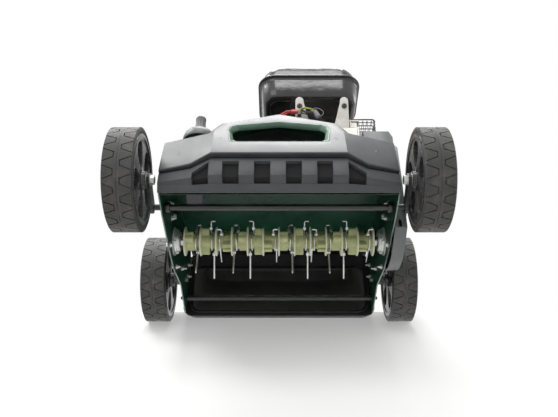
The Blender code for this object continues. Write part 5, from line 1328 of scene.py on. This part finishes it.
for s, z in ((0.098, 0.085), (0.108, 0.27), (0.225, 0.045), (0.272, 0.16), (0.262, 0.262)):
    lathe(mm(0,-0.4, 6.2,-0.4, 6.2,1, 5.6,1.6, 4.8,1.6, 4.2,0.2, 0,0.2), (TRAY_OUT, back(s), z),
        (1, 0, 0), 24, tray_screws)
    fastener((TRAY_OUT + 0.0001, back(s), z), (1, 0, 0), 0.0055, 0.0022, turn=s * 9, shape=tray_screws)
for s, z in ((0.2, 0.345), (0.262, 0.345)):
    fastener((TRAY_OUT + 0.0119, back(s), z), (1, 0, 0), 0.006, 0.0026, turn=s * 9, shape=tray_screws)
piece("belt_cover_screws", tray_screws, zinc_plate, bevel=0.0002, segments=1)


# Handle. Two lower tubes with a cross brace and a U-shaped upper bar, 22 mm steel tube in black powder
# coat. Bolts hold the lower tubes to the side plates, and two clamp knobs the upper bar.
HANDLE_SLOPE = math.radians(50)
HANDLE_FOOT = (0.33, 0.15)
TUBE_X, UPPER_TUBE_X, TUBE_R = 0.2393, 0.2163, 0.011
FOLD = 0.46


def on_handle(travel, x=0.0, lift=0.0):
    """A point on the handle's line, a distance up from its foot and above it."""
    s = HANDLE_FOOT[0] + travel * math.cos(HANDLE_SLOPE) - lift * math.sin(HANDLE_SLOPE)
    return Vector((x, back(s), HANDLE_FOOT[1] + travel * math.sin(HANDLE_SLOPE) + lift
        * math.cos(HANDLE_SLOPE)))


tube_coat = finish("black_powder_coat_tube", "black_paint", "#141415", "#1e1e20", 1.6, 0.04, (0.34, 0.48),
    60, "#8a857a", 0.12, Coat_Weight=0.2, Coat_Roughness=0.25)
up_handle = Vector((0, math.cos(HANDLE_SLOPE), math.sin(HANDLE_SLOPE)))
lower = [[on_handle(0.001, side * TUBE_X), on_handle(0.4735, side * TUBE_X)] for side in (-1, 1)]
bar("lower_handle_tubes", lower, TUBE_R, tube_coat, "lower_handle", sides=8)
bar("lower_handle_brace", [[on_handle(0.33, -TUBE_X + 0.009), on_handle(0.33, TUBE_X - 0.009)]], 0.0079,
    tube_coat, sides=7)
fittings = bmesh.new()
for side in (-1, 1):
    # Weld bead where the brace meets the tube, and the plug in the tube's foot
    lathe(mm(8.2,0, 10.2,0.4, 10.6,1.4, 8.2,3.6), on_handle(0.33, side * (TUBE_X - 0.0104)),
        (-side, 0, 0), 32, fittings, True)
    lathe(mm(0,0.2, 6,0.2, 9.8,-0.6, 11.4,1.2, 11.4,4.2, 0,4.4), on_handle(-0.0006, side * TUBE_X),
        up_handle, 32, fittings)
piece("lower_handle_fittings", fittings, tube_coat)
foot_bolts = bmesh.new()
for side in (-1, 1):
    for travel in (0.022, 0.07):
        spot = on_handle(travel, side * (TUBE_X + TUBE_R - 0.0006))
        lathe(mm(4.4,-1, 8.5,-1, 8.5,1.2, 4.4,1.2), spot, (side, 0, 0), 28, foot_bolts, True)
        fastener(spot + Vector((side * 0.0012, 0, 0)), (side, 0, 0), 0.01, 0.005, turn=travel * 20,
            shape=foot_bolts)
piece("lower_handle_bolts", foot_bolts, zinc_plate, bevel=0.0003, segments=1)

# Upper bar with a foam sleeve on its cross part, closed-cell rubber that is finely pitted and dull
upper_path = rounded_path([on_handle(0.4405, -UPPER_TUBE_X), on_handle(0.96, -UPPER_TUBE_X),
    on_handle(0.96, UPPER_TUBE_X), on_handle(0.4405, UPPER_TUBE_X)], 0.06, 10)
bar("upper_handlebar_tube", [upper_path], TUBE_R, tube_coat, "upper_handlebar", "upper_handle", sides=8)
foam = finish("closed_cell_foam_rubber", "belt_rubber", "#161616", "#232323", 1.6, 0.35, (0.72, 0.92), 18,
    "#76726a", 0.25)
sleeve = lathe(mm(11.2,-152, 14,-152, 15.2,-150.8, 15.5,-149, 15.5,-100, 15.3,-96, 15.5,-92, 15.5,92,
    15.3,96, 15.5,100, 15.5,149, 15.2,150.8, 14,152, 11.2,152), on_handle(0.96), (1, 0, 0), 40, None,
    True)
piece("upper_handlebar_sleeve", sleeve, foam, body="upper_handle")
hinge_bits = bmesh.new()
for side in (-1, 1):
    # Spacer between the upper and lower tubes, and the coach bolt's head inside
    lathe(mm(4.6,0, 8,0, 8,0.8, 4.6,0.8), on_handle(FOLD, side * 0.22765), (side, 0, 0), 28, hinge_bits,
        True)
    lathe(mm(0,3.4, 3,3.2, 6.6,2, 8.2,0.2, 8.2,-0.8, 0,-0.8),
        on_handle(FOLD, side * (UPPER_TUBE_X - TUBE_R + 0.0004)), (-side, 0, 0), 28, hinge_bits)
piece("upper_handlebar_bolts", hinge_bits, zinc_plate, body="upper_handle")

# Clamp knobs. Five-lobed nylon mouldings on a steel stud, one on each side
for label, side in (("left", -1), ("right", 1)):
    lobed = lathe(mm(0,0, 10,0, 10.5,1, 11,3.6, 17.2,5, 18,6.2, 18,12.5, 17.2,14.2, 15,15.4, 11,15.9,
        10,15.2, 6,15.2, 5.2,15.8, 0,15.8), (0, 0, 0), (0, 0, 1), 100)
    fluted(lobed, (0, 0), 0.014, 5, 0.0042, 0.004, 0.016)
    joined(lobed, matrix=aim((side, 0, 0)))
    piece(f"clamp_knob_{label}_moulding", lobed, cap_skin, f"clamp_knob_{label}", f"clamp_{label}",
        bevel=0.0003, place=on_handle(FOLD, side * 0.2506))

# Bail lever. 10 mm round steel that the hand pulls up to the bar, with moulded ends on its pivots
bail_side = ((0.845, 0.0), (0.865, 0.02), (0.93, 0.055))
corners = [on_handle(travel, -0.1993, lift) for travel, lift in bail_side]
corners += [on_handle(travel, 0.1993, lift) for travel, lift in bail_side[::-1]]
bar("bail_lever_rod", [rounded_path(corners, 0.012, 6)], 0.0049, tube_coat, "bail_lever", "bail", sides=6)
bail_ends = bmesh.new()
for side in (-1, 1):
    lathe(mm(0,-4.8, 6.8,-4.6, 7.5,-3.6, 7.5,2.8, 6.8,3.8, 0,4), on_handle(0.845, side * 0.1993),
        (side, 0, 0), 32, bail_ends)
piece("bail_lever_pivots", bail_ends, cap_skin, body="bail", bevel=0.0003)


# Rear flap. A moulded rubber-like flap that hangs on a steel pin behind the deck and rests on the bag,
# with shallow ribs across its top that stop it from warping.
flap_shape = bmesh.new()
flat_solid(mm(446,205.2, 446,209.8, 449,210.2, 490.5,208, 491.8,207.2, 491.8,205.6, 490.8,205), 0.447,
    upright(-0.2235), flap_shape)
for i in range(15):
    x = -0.21 + i * 0.03
    flat_solid(mm(450,209.5, 452,211, 488,209.2, 489.5,207.5), 0.0022, upright(x - 0.0011), flap_shape)
for i in range(9):
    x = -0.2235 + i * 0.0515
    lathe(mm(0,0, 2.8,0, 3.2,0.4, 3.2,34.6, 2.8,35, 0,35), (x, back(0.4448), 0.208), (1, 0, 0), 20,
        flap_shape)
piece("rear_flap_moulding", flap_shape, cap_skin, "rear_flap", "flap", bevel=0.0004)

# Bag frame. A moulded frame with round corners and two hooks that hang on the rear cross rod, with
# screws that clamp the bag's binding against it.
frame_skin = finish("moulded_black_polypropylene", "black_plastic", "#0f0f10", "#19191a", 1.4, 0.05,
    (0.36, 0.52), 40, "#6f6b60", 0.12)
dress("bag_frame", frame_skin, 0.0022, 3)

# Its seal: a thin moulded skirt that reaches forward between the side plates, a lip that laps behind
# them, and a wall that closes the space up to the flap. It is a dark sheet that paints the shade in the
# gaps round the bag's mouth.
seal = bmesh.new()
# Distance behind the axle, half width, foot, top and corner radius of each loop
SKIRT = [(0.4697, 0.234, 0.036, 0.2035, 0.022), (0.4645, 0.234, 0.036, 0.2035, 0.022),
    (0.464, 0.2335, 0.0365, 0.2035, 0.022), (0.464, 0.2235, 0.0405, 0.2034, 0.034),
    (0.456, 0.2232, 0.041, 0.2033, 0.034), (0.4552, 0.2226, 0.0416, 0.2026, 0.0335),
    (0.4552, 0.2218, 0.0424, 0.2018, 0.033), (0.456, 0.2212, 0.043, 0.2012, 0.0325),
    (0.468, 0.215, 0.05, 0.176, 0.026), (0.4697, 0.2145, 0.0505, 0.1755, 0.026)]
skirt = [[seal.verts.new((x, back(s), z))
    for x, z in rounded_box((-half_w, low), (half_w, high), corner, 8)]
    for s, half_w, low, high, corner in SKIRT]
skin(seal, skirt + skirt[:1])
piece("bag_mouth_seal_painted_shade", seal, painted_shade_plastic, body="bag", smooth=50)
frame_screws = bmesh.new()
for x in (-0.2, -0.12, -0.04, 0.04, 0.12, 0.2):
    for z in (0.0445, 0.1815):
        lathe(mm(0,0, 2.8,0.2, 3.4,-1, 3.4,0.2, 2.6,1.6, 1.2,2, 0,2), (x, back(0.4701), z), (0, -1, 0),
            18, frame_screws)
piece("bag_frame_screws", frame_screws, black_enamel, body="bag")

# Collection bag. Sewn from coated polyester: a wide shell whose top sags between its stiff mouth and
# its rear panel. Panels pull in at the sides and gather at the binding.
BAG_HALF = 0.2255
BAG_LOW = [(0.0, 0.4846, 0.0415), (0.82, 0.7395, 0.2735), (1.0, 0.75, 0.313)]
BAG_HIGH = [(0.0, 0.4846, 0.1845), (0.62, 0.6094, 0.3515), (1.0, 0.6905, 0.4615)]


def along_line(points, t):
    """A point of a bent line at a share of its way."""
    for (t0, s0, z0), (t1, s1, z1) in zip(points, points[1:]):
        if t <= t1 + 1e-9:
            share = (t - t0) / (t1 - t0)
            return Vector((s0 + (s1 - s0) * share, z0 + (z1 - z0) * share))
    return Vector(points[-1][1:])


def bag_ring(t, shrink=0.0, push=0.0, grow=0.0):
    """One ring of the bag's cloth: a rounded outline with its sag, gathers and folds."""
    low, high = along_line(BAG_LOW, t), along_line(BAG_HIGH, t)
    up = (high - low).normalized()
    out = Vector((up.y, -up.x))
    height = (high - low).length
    half_w, half_h = BAG_HALF * (1 - shrink) + grow, height / 2 * (1 - shrink) + grow
    radius = max(0.0215 + 0.02 * t - shrink * 0.03, 0.004)
    middle = (low + high) / 2
    outline = []
    for sx, sy, start in ((1, 1, 0), (-1, 1, 90), (-1, -1, 180), (1, -1, 270)):
        for i in range(7):
            turn = math.radians(start + 15 * i)
            outline.append((sx * (half_w - radius) + radius * math.cos(turn), sy * (half_h - radius)
                + radius * math.sin(turn)))
        # The straight part from here to the next corner
        u, v = outline[-1]
        du = -sy * (half_w - radius) + radius * math.cos(turn) - u
        dv = sx * (half_h - radius) + radius * math.sin(turn) - v
        steps = 30 if abs(du) > abs(dv) else 12
        outline += [(u + du * k / steps, v + dv * k / steps) for k in range(1, steps)]
    free = math.sin(math.pi * min(max(t, 0), 1)) ** 0.8 if 0 < t < 1 else 0.0
    ring = []
    for u, v in outline:
        across, rise = u / half_w, v / half_h
        folds = noise.noise(Vector((u * 13, t * 4.5, v * 16 + 3)))
        folds += 0.5 * noise.noise(Vector((u * 31, t * 9, v * 30)))
        u2 = u * (1 - free * 0.045 * (1 - rise ** 2))
        u2 -= math.copysign(1, u) * free * 0.0045 * (0.5 + folds)
        v2 = v
        if v > 0:
            v2 -= free * (0.016 * (1 - across ** 2) + 0.0045 * (0.6 + folds)) * rise
        else:
            v2 -= free * (0.005 * (1 - across ** 2) - 0.005 * (0.7 + folds)) * -rise
        gather = 0.0016 * math.cos(u * 210 + 2.5 * folds) * math.exp(-t * 9) * min(t * 30, 1)
        drawn_in = 0.0016 * math.exp(-t * 9) * min(t * 30, 1)
        v2 += gather * (1 if v > 0 else -1) - drawn_in * math.copysign(1, v)
        wrinkle = shrink * 0.0035 * noise.noise(Vector((u * 15, 7, v * 15)))
        spot = middle + up * v2 + out * (push + wrinkle)
        ring.append(Vector((u2, back(spot.x), spot.y)))
    return ring


stations = [(i / 40, 0.0, 0.0) for i in range(41)]
stations += [(1.0, 0.03 + i * 0.105, -0.0045 * min(i + 1, 3) / 3 - 0.0065 * (i / 8)) for i in range(9)]
shell = bmesh.new()
rings = [[shell.verts.new(point) for point in bag_ring(*station)] for station in stations]
skin(shell, rings)
shell.faces.new(rings[-1])
bmesh.ops.recalc_face_normals(shell, faces=shell.faces)
bag_maker = shown("bag_maker", mesh_of(shell, "collection_bag_shell"))
# Coated polyester: a plain weave about 1.1 mm across, dull, with grey dust from the lawn in its folds.
# The coating is on the inside, which has a low sheen; its colour is painted much paler than the outside
# for the light that reaches into the bag.
polyester = finish("coated_polyester_weave", "bag_fabric", "#363637", "#494949", 1.1, 0.16, (0.58, 0.8),
    45, "#7f7a6c", 0.25, Sheen_Weight=0.25, Sheen_Roughness=0.5)
bag_inside_painted_light = finish("coated_polyester_inside_painted_light", "bag_fabric", "#7a7a79", "#949493", 1.1, 0.1,
    (0.45, 0.62), 45, "#7f7a6c", 0.25)
bag_maker.data.materials.append(polyester)
bag_maker.data.materials.append(bag_inside_painted_light)
# The ply's inner face takes the paler inside finish with its painted light
ply = bag_maker.modifiers.new("ply", "SOLIDIFY")
ply.thickness, ply.offset, ply.material_offset = 0.0013, -1, 1
bag_mesh = smoothed(settled(bag_maker), 60)
bpy.data.objects.remove(bag_maker)
seat("collection_bag_shell", bag_mesh, polyester, "bag_cloth", "bag")

# Binding tape round the mouth, and corded seams round the rear panel and along the sides
tape = bmesh.new()
# Where each edge of the tape lies along the bag, and how far it stands off the cloth
TAPE = [(0.0, -0.0016), (0.0, 0.0006), (0.004, 0.0012), (0.03, 0.001), (0.034, 0.0001), (0.034, -0.002),
    (0.0, -0.0022)]
bands = [[tape.verts.new(point) for point in bag_ring(t, grow=grow)] for t, grow in TAPE]
skin(tape, bands)
webbing = finish("woven_polyester_tape", "bag_fabric", "#151515", "#212121", 1.4, 0.2, (0.6, 0.82), 20,
    "#7f7a6c", 0.2, stretch=(1, 1, 2.0))
piece("collection_bag_binding", tape, webbing, body="bag", smooth=60)
bar("collection_bag_seams", [bag_ring(1.0, 0.012, 0.0004)], 0.0021, webbing, body="bag", sides=3,
    closed=True)

# Webbing grip on the rear panel for emptying the bag
grip_low, grip_high = along_line(BAG_LOW, 1.0), along_line(BAG_HIGH, 1.0)
grip_up = (grip_high - grip_low).normalized()
grip_out = Vector((grip_up.y, -grip_up.x))
grip_middle = (grip_low + grip_high) / 2
strap = bmesh.new()
strap_rows = []
for i in range(25):
    share = i / 24 * 2 - 1
    lift = -0.006 + 0.02 * max(1 - (abs(share) / 0.82) ** 2.5, 0) + 0.0016
    row = []
    for wide, thick in ((-0.0125, 0), (0.0125, 0), (0.0125, 0.0016), (-0.0125, 0.0016)):
        spot = grip_middle + grip_up * wide + grip_out * (lift + thick)
        row.append(strap.verts.new((share * 0.085, back(spot.x), spot.y)))
    strap_rows.append(row)
skin(strap, strap_rows)
strap.faces.new(strap_rows[0])
strap.faces.new(strap_rows[-1])
piece("collection_bag_grip", strap, webbing, body="bag", bevel=0.0003, smooth=50)


# Joints of the deck's front wall. The sheet is folded from three lengths, and each joint shows as a
# low weld bead under the coat, ground almost flush.
deck_joints = [[(x, back(0.0062), 0.0728), (x, back(0.0232), 0.1112)] for x in (0.004, 0.096)]
bar("deck_joint_beads", deck_joints, 0.0011, green_coat, sides=2)


# Studio. A pale floor that fades into white. One floor lies under the wheels as the machine stands;
# the other is the floor of the photograph, on which it is tipped back onto its rear wheels. Each is
# seen from its upper side only.
def floor_material(name, tint, spread, centre, depth):
    """Matt pale floor that holds the object's shadow and fades out to the white background."""
    made = bpy.data.materials.new(name)
    made.use_nodes = True
    tree = made.node_tree
    tree.nodes.clear()
    place = add(tree, "ShaderNodeTexCoord").outputs["Object"]
    away = add(tree, "ShaderNodeVectorMath", {0: place, 1: centre}, operation="DISTANCE").outputs["Value"]
    fade = add(tree, "ShaderNodeMapRange", {"Value": away, "From Min": spread[0], "From Max": spread[1],
        "To Min": depth, "To Max": 0.0}, interpolation_type="SMOOTHSTEP").outputs[0]
    rays = add(tree, "ShaderNodeLightPath").outputs["Is Camera Ray"]
    facing = add(tree, "ShaderNodeNewGeometry").outputs["Backfacing"]
    front = add(tree, "ShaderNodeMath", {0: 1.0, 1: facing}, operation="SUBTRACT").outputs[0]
    seen = add(tree, "ShaderNodeMath", {0: rays, 1: front}, operation="MULTIPLY").outputs[0]
    share = add(tree, "ShaderNodeMath", {0: seen, 1: fade}, operation="MULTIPLY").outputs[0]
    paint = add(tree, "ShaderNodeBsdfDiffuse", {"Color": linear(tint)}).outputs[0]
    clear = add(tree, "ShaderNodeBsdfTransparent").outputs[0]
    mixed = add(tree, "ShaderNodeMixShader", {"Fac": share})
    tree.links.new(clear, mixed.inputs[1])
    tree.links.new(paint, mixed.inputs[2])
    add(tree, "ShaderNodeOutputMaterial", {"Surface": mixed.outputs[0]})
    return made


FLOOR_HALF = 2.5
PHOTO_FLOOR_SLOPE = math.radians(42)


def floor(name, place, turn, material, reach):
    """A floor about its own place, that ends a distance behind it."""
    shape = bmesh.new()
    bmesh.ops.create_grid(shape, x_segments=8, y_segments=8, size=FLOOR_HALF)
    for vert in shape.verts:
        vert.co.y = min(vert.co.y, reach + 0.02 * vert.co.y)
    item = shown(name, mesh_of(shape, name))
    item.data.materials.append(material)
    item.location, item.rotation_euler = place, turn


floor("standing_floor", (0, 0, -0.0006), (0, 0, 0), floor_material("pale_paper_standing", "#f4f4f3",
    (0.9, 2.3), (0, 0, 0), 0.85), FLOOR_HALF)
floor("photo_floor", (0, back(0.4674), 0.025), (PHOTO_FLOOR_SLOPE, 0, 0),
    floor_material("pale_paper_photo", "#f4f4f3", (0.25, 0.85), (0, -0.15, 0), 0.7), 0.016)

world = bpy.data.worlds.new("white_studio")
world.use_nodes = True
tree = world.node_tree
rays = add(tree, "ShaderNodeLightPath")
direct = add(tree, "ShaderNodeMath", {0: rays.outputs["Is Camera Ray"],
    1: rays.outputs["Is Transmission Ray"]}, operation="MAXIMUM")
seen = add(tree, "ShaderNodeMath", {0: direct.outputs[0], 1: rays.outputs["Is Glossy Ray"]},
    operation="MAXIMUM").outputs[0]
strength = add(tree, "ShaderNodeMapRange", {"Value": seen, "To Min": 0.64, "To Max": 1.0}).outputs[0]
sky = tree.nodes["Background"]
sky.inputs["Color"].default_value = (1, 1, 1, 1)
tree.links.new(strength, sky.inputs["Strength"])
bpy.context.scene.world = world


def softbox(name, place, towards, size, watts):
    """A soft studio lamp."""
    lamp = shown(name, bpy.data.lights.new(name, "AREA"))
    lamp.data.shape, lamp.data.size, lamp.data.energy = "SQUARE", size, watts
    lamp.location = place
    lamp.rotation_mode = "QUATERNION"
    lamp.rotation_quaternion = (Vector(towards) - Vector(place)).to_track_quat("-Z", "Y")


softbox("overhead", (0.0, -0.35, 2.5), (0, -0.3, 0.2), 1.3, 44)
softbox("left_top", (-1.35, -0.45, 2.0), (-0.1, -0.4, 0.2), 0.9, 26)
softbox("front_top", (0.0, -2.4, 2.6), (0, -0.3, 0.4), 1.4, 38)
softbox("camera_side", (-1.3, -2.6, 0.9), (0, -0.2, 0.2), 1.6, 14)
softbox("right_rim", (2.4, 0.6, 1.2), (0, 0, 0.2), 1.4, 16)
bpy.context.scene.view_settings.view_transform = "Standard"
